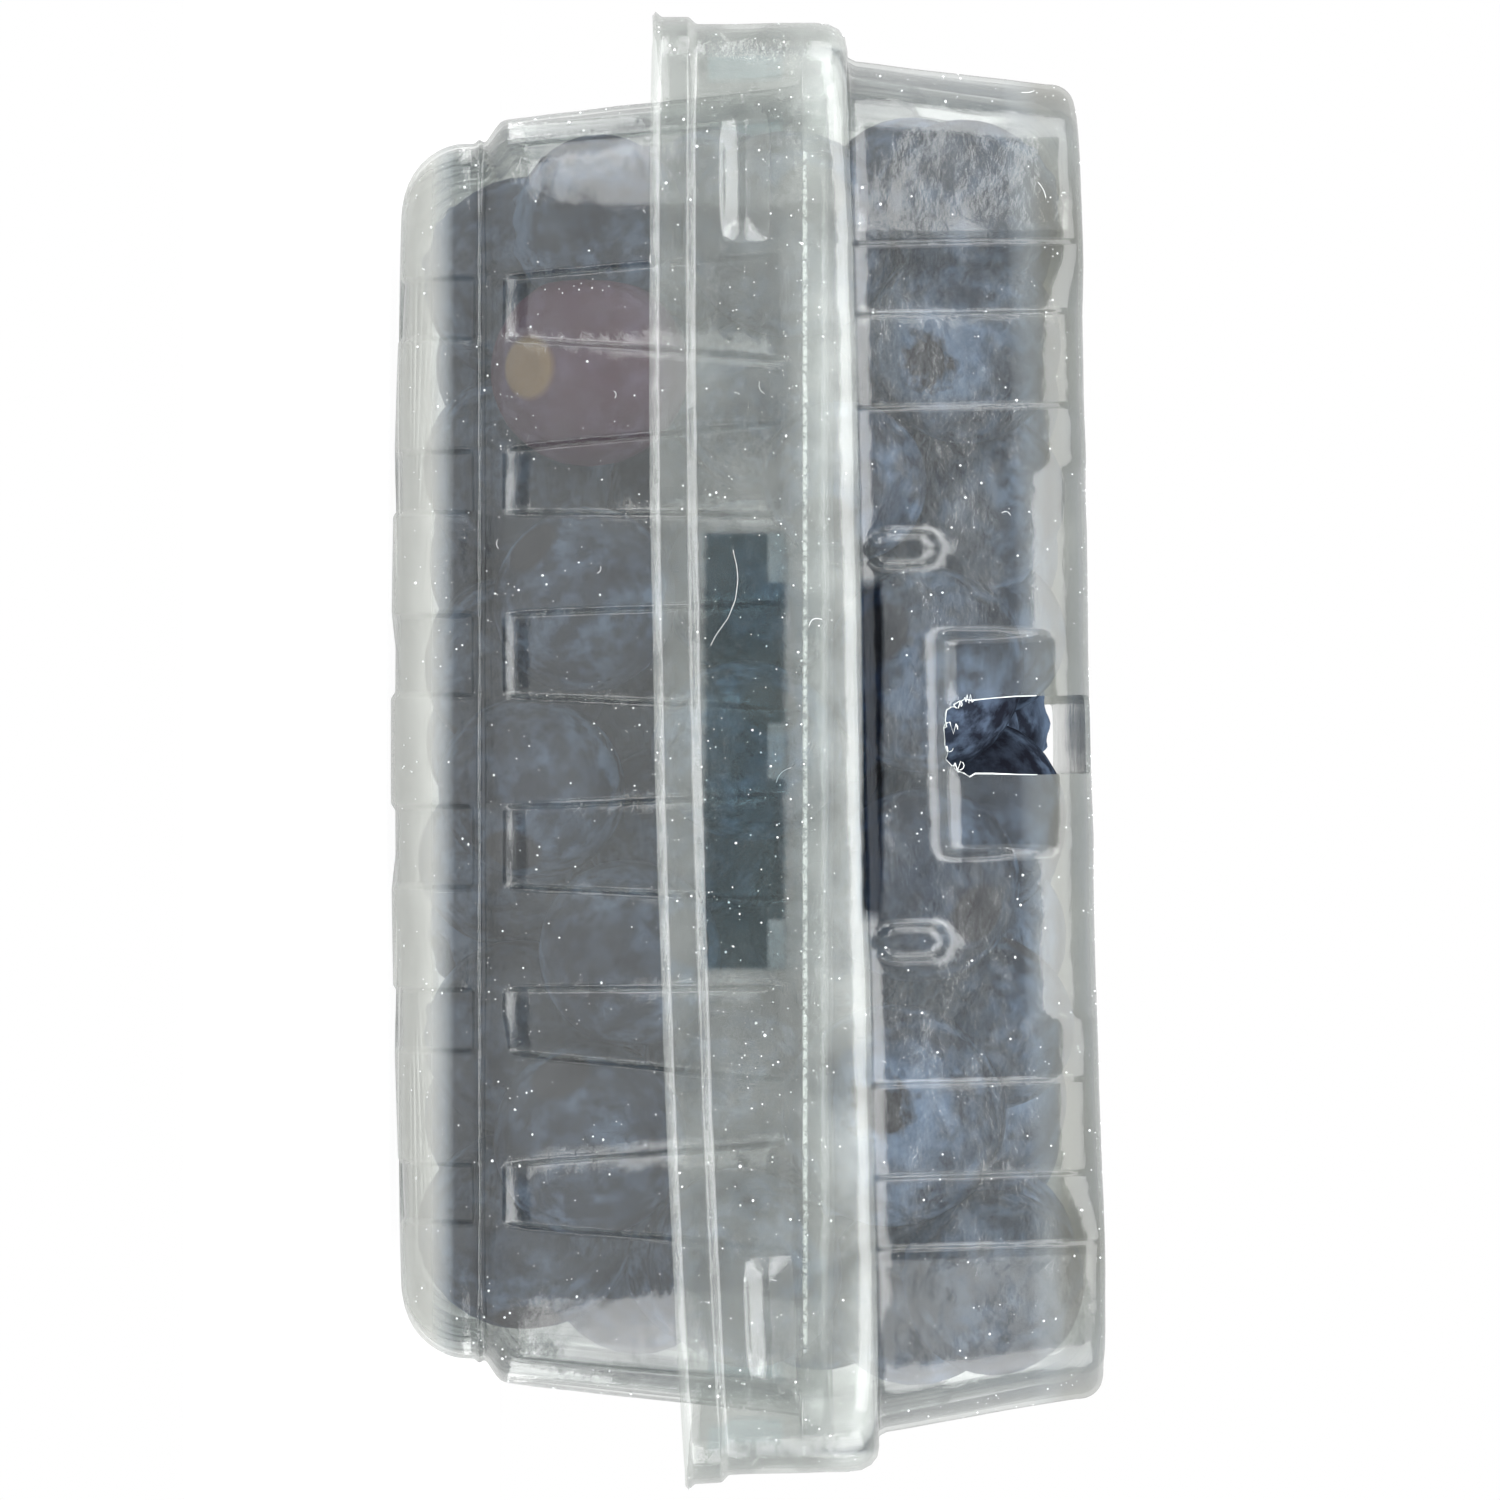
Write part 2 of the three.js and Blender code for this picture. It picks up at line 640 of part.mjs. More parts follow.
// A jittered grid of berries that settles until none overlaps much
function settledBerries() {
  const berries = NEAR_BERRIES.map(({ x, z, radius }) => {
    const berry = { x, y: 0, z, radius, held: true };
    berry.y = -roomFor(berry, x);
    return berry;
  });
  const pitch = (2 * roomAt(20)) / BERRIES_ACROSS;
  for (let layer = 0; layer < BERRY_LAYERS; layer++) {
    for (let row = 0; row < BERRIES_ACROSS; row++) {
      for (let place = 0; place < BERRIES_ACROSS; place++) {
        const berry = {
          x: (place - (BERRIES_ACROSS - 1) / 2) * pitch + (draw() - 0.5) * BERRY_JITTER,
          y: (row - (BERRIES_ACROSS - 1) / 2) * pitch + (draw() - 0.5) * BERRY_JITTER,
          z: FIRST_LAYER_Z + layer * LAYER_PITCH + (draw() - 0.5) * BERRY_JITTER,
          radius: BERRY_RADIUS + (draw() + draw() - 1) * BERRY_SPREAD,
          held: false,
        };
        const taken = berries.some((other) => other.held
          && Math.hypot(other.x - berry.x, other.y - berry.y, other.z - berry.z) < TAKEN_WITHIN);
        if (!taken) {
          berries.push(berry);
        }
      }
    }
  }
  const loose = berries.filter((berry) => !berry.held);
  for (let pass = 0; pass < SETTLE_PASSES; pass++) {
    if (pass < PULL_PASSES) {
      loose.forEach(drawToWalls);
    }
    for (let i = 0; i < berries.length; i++) {
      for (let j = i + 1; j < berries.length; j++) {
        pushApart(berries[i], berries[j]);
      }
    }
    loose.forEach(keepInside);
  }
  return berries;
}

// One berry with few sides, turned at random
function berrySolid(berry) {
  const geometry = new THREE.IcosahedronGeometry(berry.radius, 0);
  geometry.rotateX(draw() * Math.PI);
  geometry.rotateZ(draw() * Math.PI);
  geometry.translate(berry.x, berry.y, berry.z);
  return manifoldOf(geometry);
}

// The heap: a core inside it with every berry that shows fused on
function berriesSolid() {
  const height = CORE_TOP_Z - CORE_FOOT_Z;
  const outline = new THREE.Shape();
  const flat = CORE_HALF - CORE_ROUND;
  [[flat, flat, 0], [-flat, flat, 90], [-flat, -flat, 180], [flat, -flat, 270]].forEach(([x, y, from]) => {
    outline.absarc(x, y, CORE_ROUND, radians(from), radians(from + 90), false);
  });
  const settings = { depth: height, bevelEnabled: false, curveSegments: 2 };
  const extruded = new THREE.ExtrudeGeometry(outline, settings);
  extruded.translate(0, 0, CORE_FOOT_Z);
  const core = manifoldOf(extruded);
  const solids = settledBerries().map(berrySolid);
  const heap = wasm.Manifold.union([core, ...solids]);
  const pieces = heap.decompose();
  return pieces.reduce((best, piece) => (piece.volume() > best.volume() ? piece : best));
}

function namedMesh(name, solid, roughness) {
  const material = new THREE.MeshStandardMaterial({ color: COLOURS[name], roughness, metalness: 0 });
  const mesh = new THREE.Mesh(geometryOf(solid), material);
  mesh.name = name;
  return mesh;
}

const punnet = new THREE.Group();
punnet.add(namedMesh('base_tray', sheetSolid(trayRings(), false), 0.12));
punnet.add(namedMesh('berries', berriesSolid(), 0.6));

// The lid sits down on the rim at -X and is tipped up towards +X
const lidSeat = new THREE.Group();
const lidMesh = namedMesh('lid', lidSolid(), 0.12);
lidMesh.position.set(SKIRT_HALF, 0, -SHOULDER_Z);
lidSeat.add(lidMesh);
lidSeat.rotation.y = radians(-LID_TIP_DEG);
lidSeat.position.set(-SKIRT_HALF, 0, SHOULDER_Z);
lidSeat.updateMatrixWorld(true);
const lidBox = new THREE.Box3().setFromObject(lidSeat, true);
lidSeat.position.x -= (lidBox.min.x + lidBox.max.x) / 2;
punnet.add(lidSeat);

export default punnet;
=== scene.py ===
import math
import random

import bmesh
import bpy
import numpy as np
from mathutils import Matrix, Vector


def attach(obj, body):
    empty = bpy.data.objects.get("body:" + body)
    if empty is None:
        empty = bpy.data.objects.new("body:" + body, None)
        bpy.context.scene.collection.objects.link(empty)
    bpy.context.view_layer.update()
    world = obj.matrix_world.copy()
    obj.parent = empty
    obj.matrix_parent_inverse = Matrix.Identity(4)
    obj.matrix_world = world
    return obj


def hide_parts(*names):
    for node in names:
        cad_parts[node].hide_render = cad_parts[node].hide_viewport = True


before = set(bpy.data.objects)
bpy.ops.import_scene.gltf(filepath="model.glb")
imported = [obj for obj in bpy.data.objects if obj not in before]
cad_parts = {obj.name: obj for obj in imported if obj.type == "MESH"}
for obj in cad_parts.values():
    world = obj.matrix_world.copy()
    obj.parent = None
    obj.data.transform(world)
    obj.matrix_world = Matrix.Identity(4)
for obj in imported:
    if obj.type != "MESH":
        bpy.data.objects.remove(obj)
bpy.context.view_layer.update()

# Tray
# The lower half of the punnet: one sheet of clear plastic drawn down into a square mould, with
# channels pressed in between its ribs and its top edge rolled outwards into a rim. Sizes in mm.
MM = 0.001
SHEET = 0.4
TRAY_RIBS_FOOT = [[0, 4.2], [11.4, 19.1], [24.8, 33.3]]
TRAY_RIBS_TOP = [[0, 3.1], [12.4, 18.8], [27.1, 31.4]]
TRAY_CORNER_FOOT = 38.8
TRAY_CORNER_TOP = 40.8
RIB_FLANK = 0.75
REST_HALF = 12
FLOOR_EDGE_HALF = 43.9
FLOOR_BOW = 0.8
FLOOR_SINK = 0.35
FOOT_RADIUS = 6
FOOT_HALF = FLOOR_EDGE_HALF + FOOT_RADIUS
FOOT_SINK = 0.9
FOOT_TOP_Z = 7.7
WALL_SINK = 1.0
STEP_TOP_Z = 9.0
WALL_TOP_Z = 33.2
# Up the outside of the wall and round the rim: half width, height, depth of the channels, cut length
TRAY_WALL = [
    (FOOT_HALF, 6.0, 0.9, 0),
    (FOOT_HALF, 6.7, 0.6, 0.2),
    (50.3, 7.2, 0.12, 0.3),
    (49.95, 7.7, 0.12, 0.3),
    (51.7, 9.0, 0.12, 0.7),
    (51.95, 10.9, 1.0, 0.9),
    (54.3, 31.5, 1.0, 0.8),
    (54.5, 33.1, 0, 0.7),
    (55.2, 35.3, 0, 0.9),
    (56.1, 35.95, 0, 0.5),
    (57.0, 35.6, 0, 0.5),
    (57.3, 33.7, 0, 0),
]
LEDGE_DENT_AT = 24.7
LEDGE_DENT_Z = 9.0
LEDGE_DENT_DEEP = 0.5
LEDGE_DENT_REACH = 0.9
# Where a corner starts to turn, as a share from the last rib to the corner, at the foot and the top
TURN_AT_FOOT = 0.42
TURN_AT_TOP = 0.25
TRAY_RIDGE_DEG = 31
CORNER_BEAD = 0.3
BEAD_FROM_DEG = 41.6
FACETED = 0.65


def mix(low, high, share):
    return low + (high - low) * share


def eased(share):
    share = np.clip(share, 0, 1)
    return share * share * (3 - 2 * share)


def columns_from(edges, pitch, flank_steps):
    """Columns of half a side: places at the foot and the top of the wall, and what each one holds."""
    rows = []
    for (foot, top, *here), (next_foot, next_top, *there) in zip(edges, edges[1:]):
        steep = here != there
        steps = flank_steps if steep else max(1, math.ceil(abs(next_foot - foot) / pitch))
        for step in range(steps):
            share = step / steps
            held = [mix(a, b, float(eased(share))) for a, b in zip(here, there)]
            rows.append([mix(foot, next_foot, share), mix(top, next_top, share), *held])
    rows.append(list(edges[-1]))
    return np.array(rows).T


def rounded_rows(keys, pitch, steps=5):
    """Rows through the keys, each key but the ends rounded off over its last value, a cut length."""
    points = [np.array(key[:-1], float) for key in keys]
    cuts = [key[-1] for key in keys]
    rows = [points[0]]
    for before, here, after, cut in zip(points, points[1:], points[2:], cuts[1:]):
        back = np.linalg.norm((before - here)[:2])
        ahead = np.linalg.norm((after - here)[:2])
        start = here + (before - here) * min(0.48, cut / back)
        end = here + (after - here) * min(0.48, cut / ahead)
        for step in range(steps + 1):
            t = step / steps
            rows.append(start * (1 - t) ** 2 + here * 2 * t * (1 - t) + end * t * t)
    rows.append(points[-1])
    filled = [rows[0]]
    for row in rows[1:]:
        gap = np.linalg.norm((row - filled[-1])[:2])
        if gap < 1e-6:
            continue
        last = filled[-1]
        steps_here = max(1, math.ceil(gap / pitch))
        filled.extend(mix(last, row, step / steps_here) for step in range(1, steps_here + 1))
    return filled


def faceted_corner(corner_at, half, steps, ridge_deg, bead):
    """From the end of a flat side to the middle of its corner: three flat facets and a narrow bead."""
    reach = half - corner_at
    before = min(round(steps * ridge_deg / 45), steps - 3)
    degrees = np.concatenate([
        np.linspace(0, ridge_deg, before + 1)[1:],
        np.linspace(ridge_deg, BEAD_FROM_DEG, steps - before - 2)[1:],
        [42.8, 44.0, 45],
    ])
    arc = np.array([np.sin(np.radians(degrees)), np.cos(np.radians(degrees))])
    ridge = np.array([math.sin(math.radians(ridge_deg)), math.cos(math.radians(ridge_deg))])
    middle = np.array([1, 1]) * math.cos(math.radians(45 - ridge_deg)) / math.sqrt(2)
    flat = np.array([[0.0], [1.0]])
    share = np.clip(degrees / ridge_deg, 0, 1)
    beyond = np.clip((degrees - ridge_deg) / (45 - ridge_deg), 0, 1)
    facets = mix(mix(flat, ridge[:, None], share), middle[:, None], beyond)
    along, out = corner_at + reach * mix(arc, facets, FACETED)
    proud = bead * eased((degrees - BEAD_FROM_DEG) / 2.4)
    return along + proud, out + proud


def whole_side(along, values):
    """Both halves of a side from its right half; the middle of the left corner is the last side's."""
    sides = [np.concatenate([-along[:0:-1][1:], along])]
    sides += [np.concatenate([value[:0:-1][1:], value]) for value in values]
    return sides


def round_four_sides(along, out, up):
    """One closed ring of points from the same side, or from four lists of one, turned four times."""
    turned = []
    for side in range(4):
        x, y = along[side], -out[side]
        for _ in range(side):
            x, y = -y, x
        turned.append(np.stack([x, y, up[side]], axis=1))
    return np.concatenate(turned)


def unevenness(points, wavelength, depth, seed):
    """How far a drawn sheet strays from its mould: smooth waves in chosen directions."""
    draws = np.random.default_rng(seed)
    total = np.zeros(len(points))
    waves = 14
    for _ in range(waves):
        direction = draws.normal(size=3)
        direction *= 2 * math.pi / wavelength / np.linalg.norm(direction) * draws.uniform(0.7, 1.4)
        total += np.sin(points @ direction + draws.uniform(0, 2 * math.pi))
    return total * depth / math.sqrt(waves)


def face_normals_at_points(points, quads):
    across = points[quads[:, 2]] - points[quads[:, 0]]
    normal = np.cross(across, points[quads[:, 3]] - points[quads[:, 1]])
    normals = np.zeros_like(points)
    for corner in range(4):
        np.add.at(normals, quads[:, corner], normal)
    return normals / np.maximum(np.linalg.norm(normals, axis=1, keepdims=True), 1e-12)


def sheet_mesh(name, rings, pole_first, thickness, waver):
    """A closed sheet behind a grid of rings that runs from a pole to a cut edge, or back."""
    count = len(rings[0])
    points = np.concatenate(rings)
    ring_of = np.arange(len(rings) * count).reshape(len(rings), count)
    low, high = ring_of[:-1], ring_of[1:]
    quads = np.stack([low, np.roll(low, -1, 1), np.roll(high, -1, 1), high], axis=-1).reshape(-1, 4)
    normals = face_normals_at_points(points, quads)
    points = points + normals * waver(points)[:, None]
    normals = face_normals_at_points(points, quads)
    evened = normals.reshape(len(rings), count, 3)
    for _ in range(4):
        padded = np.concatenate([evened[:1], evened, evened[-1:]])
        evened = evened + np.roll(evened, 1, 1) + np.roll(evened, -1, 1) + padded[:-2] + padded[2:]
        evened /= np.linalg.norm(evened, axis=2, keepdims=True)
    back = points - evened.reshape(-1, 3) * thickness
    pole_ring = ring_of[0] if pole_first else ring_of[-1]
    edge = ring_of[-1] if pole_first else ring_of[0]
    pole = points[pole_ring].mean(axis=0)
    pole_back = back[pole_ring].mean(axis=0)
    total = len(points)
    everything = np.concatenate([points, back, [pole, pole_back]])
    pole_at, pole_back_at = 2 * total, 2 * total + 1
    around = np.roll(pole_ring, -1)
    fan = np.stack([pole_ring, around, np.full(count, pole_at)], axis=1)
    if pole_first:
        fan = fan[:, [1, 0, 2]]
    fan_back = np.where(fan == pole_at, pole_back_at, fan + total)[:, ::-1]
    edge_next = np.roll(edge, -1)
    cut = np.stack([edge, edge_next, edge_next + total, edge + total], axis=1)
    if not pole_first:
        cut = cut[:, ::-1]
    faces = [*quads.tolist(), *(quads + total)[:, ::-1].tolist(), *cut.tolist()]
    faces += [*fan.tolist(), *fan_back.tolist()]
    mesh = bpy.data.meshes.new(name)
    mesh.from_pydata((everything * MM).tolist(), [], faces)
    mesh.update()
    return mesh


def add_piece(name, mesh, material):
    piece = bpy.data.objects.new(name, mesh)
    bpy.context.scene.collection.objects.link(piece)
    if material:
        mesh.materials.append(material)
    return piece


def smooth_shaded(mesh, degrees):
    mesh.polygons.foreach_set("use_smooth", [True] * len(mesh.polygons))
    mesh.set_sharp_from_angle(angle=math.radians(degrees))
    mesh.update()


def tray_edges():
    """Rib and channel edges on half a side: places at foot and top, and 1 where a channel is sunk."""
    edges = [(0, 0, 0)]
    for (foot_in, foot_out), (top_in, top_out) in zip(TRAY_RIBS_FOOT, TRAY_RIBS_TOP):
        if foot_in > 0:
            edges += [(foot_in - RIB_FLANK, top_in - RIB_FLANK, 1), (foot_in, top_in, 0)]
        edges += [(foot_out, top_out, 0), (foot_out + RIB_FLANK, top_out + RIB_FLANK, 1)]
    edges += [(TRAY_CORNER_FOOT - RIB_FLANK, TRAY_CORNER_TOP - RIB_FLANK, 1)]
    edges += [(TRAY_CORNER_FOOT, TRAY_CORNER_TOP, 0)]
    return edges


def tray_ring(half, up, sink, lift, bow):
    foot, top, sunk = TRAY_COLUMNS
    share = np.clip((up - STEP_TOP_Z) / (WALL_TOP_Z - STEP_TOP_Z), 0, 1)
    drawn_in = min(1, half / FLOOR_EDGE_HALF)
    along = mix(foot, top, share) * drawn_in
    bowed = FLOOR_BOW * (along / TRAY_CORNER_FOOT) ** 2
    out = half - sunk * sink
    height = up + sunk * lift + bow * bowed
    turn_at = mix(along[-1], half, mix(TURN_AT_FOOT, TURN_AT_TOP, share))
    bead = CORNER_BEAD * min(1, sink)
    corner_along, corner_out = faceted_corner(turn_at, half, TRAY_CORNER_STEPS, TRAY_RIDGE_DEG, bead)
    corner_along = np.concatenate([np.linspace(along[-1], turn_at, 5)[1:], corner_along])
    corner_out = np.concatenate([np.full(4, out[-1]), corner_out])
    corner_height = np.full(len(corner_along), height[-1])
    along, out, height = whole_side(
        np.concatenate([along, corner_along]),
        [np.concatenate([out, corner_out]), np.concatenate([height, corner_height])],
    )
    outs = [out] * 4
    heights = [height] * 4
    near_dent = np.hypot(np.maximum(abs(along - LEDGE_DENT_AT) - 1.0, 0), up - LEDGE_DENT_Z)
    outs[0] = out - LEDGE_DENT_DEEP * eased(1 - near_dent / LEDGE_DENT_REACH)
    return round_four_sides([along] * 4, outs, heights)


TRAY_COLUMNS = columns_from(tray_edges(), pitch=1.7, flank_steps=6)
TRAY_CORNER_STEPS = 13
tray_rings = []
for half in (4, 8, REST_HALF, 20, 28, 35, 40, 42.5):
    spread = max(0, (half - REST_HALF) / (FLOOR_EDGE_HALF - REST_HALF))
    tray_rings.append(tray_ring(half, 0, 0, FLOOR_SINK * spread, spread))
for degrees in range(0, 90, 9):
    turn = math.radians(degrees)
    up = FOOT_RADIUS * (1 - math.cos(turn))
    half = FLOOR_EDGE_HALF + FOOT_RADIUS * math.sin(turn)
    lift = FLOOR_SINK * math.cos(turn)
    tray_rings.append(tray_ring(half, up, FOOT_SINK * math.sin(turn), lift, 1 - up / FOOT_TOP_Z))
for half, up, sink in rounded_rows(TRAY_WALL, pitch=1.8, steps=4):
    tray_rings.append(tray_ring(half, up, sink, 0, max(0, 1 - up / FOOT_TOP_Z)))


def tray_waver(points):
    above = eased(points[:, 2] / 4)
    return above * (unevenness(points, 17, 0.07, 11) + unevenness(points, 5, 0.018, 12))


class Finish:
    """A material in the making, with short ways to add the nodes that these finishes need."""

    def __init__(self, name):
        self.material = bpy.data.materials.new(name)
        self.material.use_nodes = True
        self.nodes = self.material.node_tree.nodes
        self.links = self.material.node_tree.links
        self.place = self.nodes.new("ShaderNodeTexCoord").outputs["Object"]

    def feed(self, socket, value):
        """Sets a socket to a number or a colour, or links another node's output to it."""
        if isinstance(value, tuple):
            socket.default_value = (*value, 1)
        elif isinstance(value, (int, float)):
            socket.default_value = value
        else:
            self.links.new(value, socket)

    def noise(self, scale, detail, roughness=0.65):
        texture = self.nodes.new("ShaderNodeTexNoise")
        texture.inputs["Scale"].default_value = scale
        texture.inputs["Detail"].default_value = detail
        texture.inputs["Roughness"].default_value = roughness
        self.links.new(self.place, texture.inputs["Vector"])
        return texture.outputs["Fac"]

    def bump(self, height, distance, strength, under=None):
        node = self.nodes.new("ShaderNodeBump")
        node.inputs["Strength"].default_value = strength
        node.inputs["Distance"].default_value = distance
        self.links.new(height, node.inputs["Height"])
        if under:
            self.links.new(under, node.inputs["Normal"])
        return node.outputs["Normal"]

    def reckon(self, kind, *values, clamp=False):
        node = self.nodes.new("ShaderNodeMath")
        node.operation = kind
        node.use_clamp = clamp
        for socket, value in zip(node.inputs, values):
            self.feed(socket, value)
        return node.outputs["Value"]

    def times(self, *values):
        product = values[0]
        for value in values[1:]:
            product = self.reckon("MULTIPLY", product, value)
        return product

    def ramped(self, value, low, high, to_low=0.0, to_high=1.0):
        node = self.nodes.new("ShaderNodeMapRange")
        numbers = {"From Min": low, "From Max": high, "To Min": to_low, "To Max": to_high}
        for socket, number in numbers.items():
            node.inputs[socket].default_value = number
        self.links.new(value, node.inputs["Value"])
        return node.outputs["Result"]

    def within(self, value, low, high, soft):
        """1 between low and high, falling to 0 over a soft margin on either side."""
        rise = self.ramped(value, low - soft, low + soft)
        fall = self.ramped(value, high - soft, high + soft, 1.0, 0.0)
        return self.times(rise, fall)

    def toned(self, share, under, tone):
        """One colour going over into another."""
        node = self.nodes.new("ShaderNodeMix")
        node.data_type = "RGBA"
        self.links.new(share, node.inputs["Factor"])
        self.feed(node.inputs["A"], under)
        self.feed(node.inputs["B"], tone)
        return node.outputs["Result"]

    def mixed(self, share, one, other):
        """One shader going over into another."""
        node = self.nodes.new("ShaderNodeMixShader")
        for socket, value in zip(node.inputs, (share, one, other)):
            self.links.new(value, socket)
        return node.outputs["Shader"]


# Both sheets: what they let through straight on and at a slant, and how glossy they are
THROUGH = (0.915, 0.925, 0.92)
THROUGH_SLANTED = (0.68, 0.70, 0.675)
SHEET_ROUGHNESS = 0.14
HEAD_ON_GLOSS = 0.042
SLANTED_GLOSS = 0.75
MILK = (0.72, 0.80, 0.87)
# The lid's skirt, and the smooth window in its middle where both sheets lie close. Places in metres.
LID_TIP_DEG = 1.3
SKIRT_OUT = (0.0565, 0.057)
SKIRT_ENDS = 0.0387
SKIRT_MILK = (0.77, 0.81, 0.79)
# Painted highlight: the heights over which the skirt's haze grows towards the shoulder
SKIRT_HIGHLIGHT_UP = (0.0325, 0.0375)
WINDOW_OUT = (0.05, 0.051)
WINDOW_HALF = 0.0176
WINDOW_FOOT = 0.0258
WINDOW_TOP = 0.0323
WINDOW_TONE = (0.66, 0.82, 0.88)
RIB_TOP_HALF = 0.0021
SIDE_RIB_TOP = (0.0136, 0.0176)
RIB_TOP_TALL = 0.0014
# A dark streak between the near shoulder and the wall over it: painted shade, a darker tint
# with no haze and less gloss
DARK_STREAK_UP = (0.0388, 0.0405)
DARK_STREAK_ACROSS = (-0.0125, 0.0145)
DARK_STREAK_WALL = -0.054
DARK_STREAK_TONE = (0.40, 0.50, 0.62)
# The wall's corners and the lid's top edge, with painted shade; the tray's foot, with a painted
# reflection of the bright floor; and the cut edge of its rim
CORNER_ALONG = (0.0405, 0.0435)
CORNER_OUT = (0.044, 0.046)
CORNER_SHADE_TONE = (0.80, 0.81, 0.80)
# The lid's top edge: painted shade, a darker tint under a dark grey layer
EDGE_UP = (0.0512, 0.0542)
EDGE_OUT = (0.044, 0.0535)
EDGE_SHADE_TONE = (0.57, 0.58, 0.55)
EDGE_SHADE_LAYER = (0.27, 0.275, 0.255)
EDGE_SHADE_COVER = 0.17
# The tray's foot: a painted reflection of the bright floor, a heavier pale warm layer over its haze
FOOT_UP = (0.0054, 0.0034)
FOOT_OUT = (0.040, 0.046)
FOOT_REFLECTION_TONE = (0.82, 0.83, 0.79)
FOOT_REFLECTION_COVER = 0.28
RIM_UP = (0.0325, 0.0341)
RIM_OUT = (0.0567, 0.0578)


def clear_plastic(name, haze, skirt_haze, is_lid):
    """Clear drawn sheet: it lets light through, with some milky haze and gloss with an orange peel, and
    painted shade, highlights and reflections in places.
    """
    sheet = Finish(name)
    nodes, links = sheet.nodes, sheet.links
    noise, reckon, times, ramped = sheet.noise, sheet.reckon, sheet.times, sheet.ramped
    within, toned = sheet.within, sheet.toned
    where = nodes.new("ShaderNodeSeparateXYZ")
    links.new(sheet.place, where.inputs["Vector"])
    across, beyond, up = where.outputs
    along = reckon("MINIMUM", reckon("ABSOLUTE", across), reckon("ABSOLUTE", beyond))
    out = reckon("MAXIMUM", reckon("ABSOLUTE", across), reckon("ABSOLUTE", beyond))
    level = reckon("MULTIPLY_ADD", across, -math.tan(math.radians(LID_TIP_DEG)), up)

    on_skirt = times(ramped(level, SKIRT_ENDS + 0.0003, SKIRT_ENDS), ramped(out, *SKIRT_OUT))
    frayed = reckon("MULTIPLY_ADD", noise(900, 3), 0.0012, up)
    window = within(frayed, WINDOW_FOOT + 0.0006, WINDOW_TOP + 0.0006, 0.00025)
    window = times(window, ramped(out, *WINDOW_OUT))
    window = times(window, ramped(along, WINDOW_HALF + 0.0002, WINDOW_HALF - 0.0002))
    side_rib_top = within(along, *SIDE_RIB_TOP, 0.00015)
    rib_tops = reckon("ADD", ramped(along, RIB_TOP_HALF + 0.0003, RIB_TOP_HALF), side_rib_top)
    rib_tops = times(rib_tops, within(up, WINDOW_TOP - RIB_TOP_TALL, WINDOW_TOP, 0.00015))
    apart = reckon("SUBTRACT", 1.0, times(window, reckon("SUBTRACT", 1.0, rib_tops)))
    in_corner = times(ramped(along, *CORNER_ALONG), ramped(out, *CORNER_OUT))
    on_foot = times(ramped(up, *FOOT_UP), ramped(out, *FOOT_OUT))

    facing = nodes.new("ShaderNodeLayerWeight")
    facing.inputs["Blend"].default_value = 0.5
    tint = nodes.new("ShaderNodeValToRGB")
    straight, slanted = tint.color_ramp.elements
    straight.color = (*THROUGH, 1)
    straight.position = 0.3
    slanted.color = (*THROUGH_SLANTED, 1)
    slanted.position = 0.9
    links.new(facing.outputs["Facing"], tint.inputs["Fac"])
    colour = tint.outputs["Color"]
    if is_lid:
        # Painted shade: a dark streak on the lid's near wall, darker in tint
        dark_streak_up = within(reckon("MULTIPLY_ADD", noise(300, 2), 0.0006, up), *DARK_STREAK_UP, 0.0002)
        dark_streak_across = within(reckon("MULTIPLY_ADD", noise(200, 2), 0.002, across), *DARK_STREAK_ACROSS, 0.0006)
        dark_streak = times(dark_streak_up, dark_streak_across, ramped(beyond, DARK_STREAK_WALL, DARK_STREAK_WALL - 0.0005))
        colour = toned(dark_streak, colour, DARK_STREAK_TONE)
        at_edge = times(ramped(level, *EDGE_UP), ramped(out, *EDGE_OUT))
    colour = toned(times(window, 0.45), colour, WINDOW_TONE)
    # Painted shade: the wall's corners let less through
    colour = toned(times(in_corner, 0.6), colour, CORNER_SHADE_TONE)
    # Painted shade: the lid's top edge lets less through
    if is_lid:
        colour = toned(times(at_edge, 0.7), colour, EDGE_SHADE_TONE)
    clear = nodes.new("ShaderNodeBsdfTransparent")
    links.new(colour, clear.inputs["Color"])

    diffuse_layer = nodes.new("ShaderNodeBsdfDiffuse")
    # The layer's colour: the sheet's haze, paler and warmer on the tray's foot as a painted reflection
    haze_and_painted_colour = toned(on_foot, toned(on_skirt, MILK, SKIRT_MILK), FOOT_REFLECTION_TONE)
    # Painted shade: the layer on the lid's top edge is dark grey
    if is_lid:
        haze_and_painted_colour = toned(at_edge, haze_and_painted_colour, EDGE_SHADE_LAYER)
    links.new(haze_and_painted_colour, diffuse_layer.inputs["Color"])
    cloudy = ramped(noise(150, 3), 0.3, 0.75, 0.6, 1.4)
    haze_and_painted_cover = reckon("MULTIPLY_ADD", on_skirt, skirt_haze - haze, haze)
    # Painted highlight: the skirt's haze grows towards the shoulder
    skirt_highlight = times(on_skirt, ramped(level, *SKIRT_HIGHLIGHT_UP, 0, skirt_haze * 1.6))
    haze_and_painted_cover = times(reckon("ADD", haze_and_painted_cover, skirt_highlight), cloudy, ramped(apart, 0, 1, 0.3, 1.0))
    if is_lid:
        # Painted shade: a dark grey layer over the lid's top edge
        haze_and_painted_cover = reckon("MULTIPLY_ADD", at_edge, EDGE_SHADE_COVER, haze_and_painted_cover)
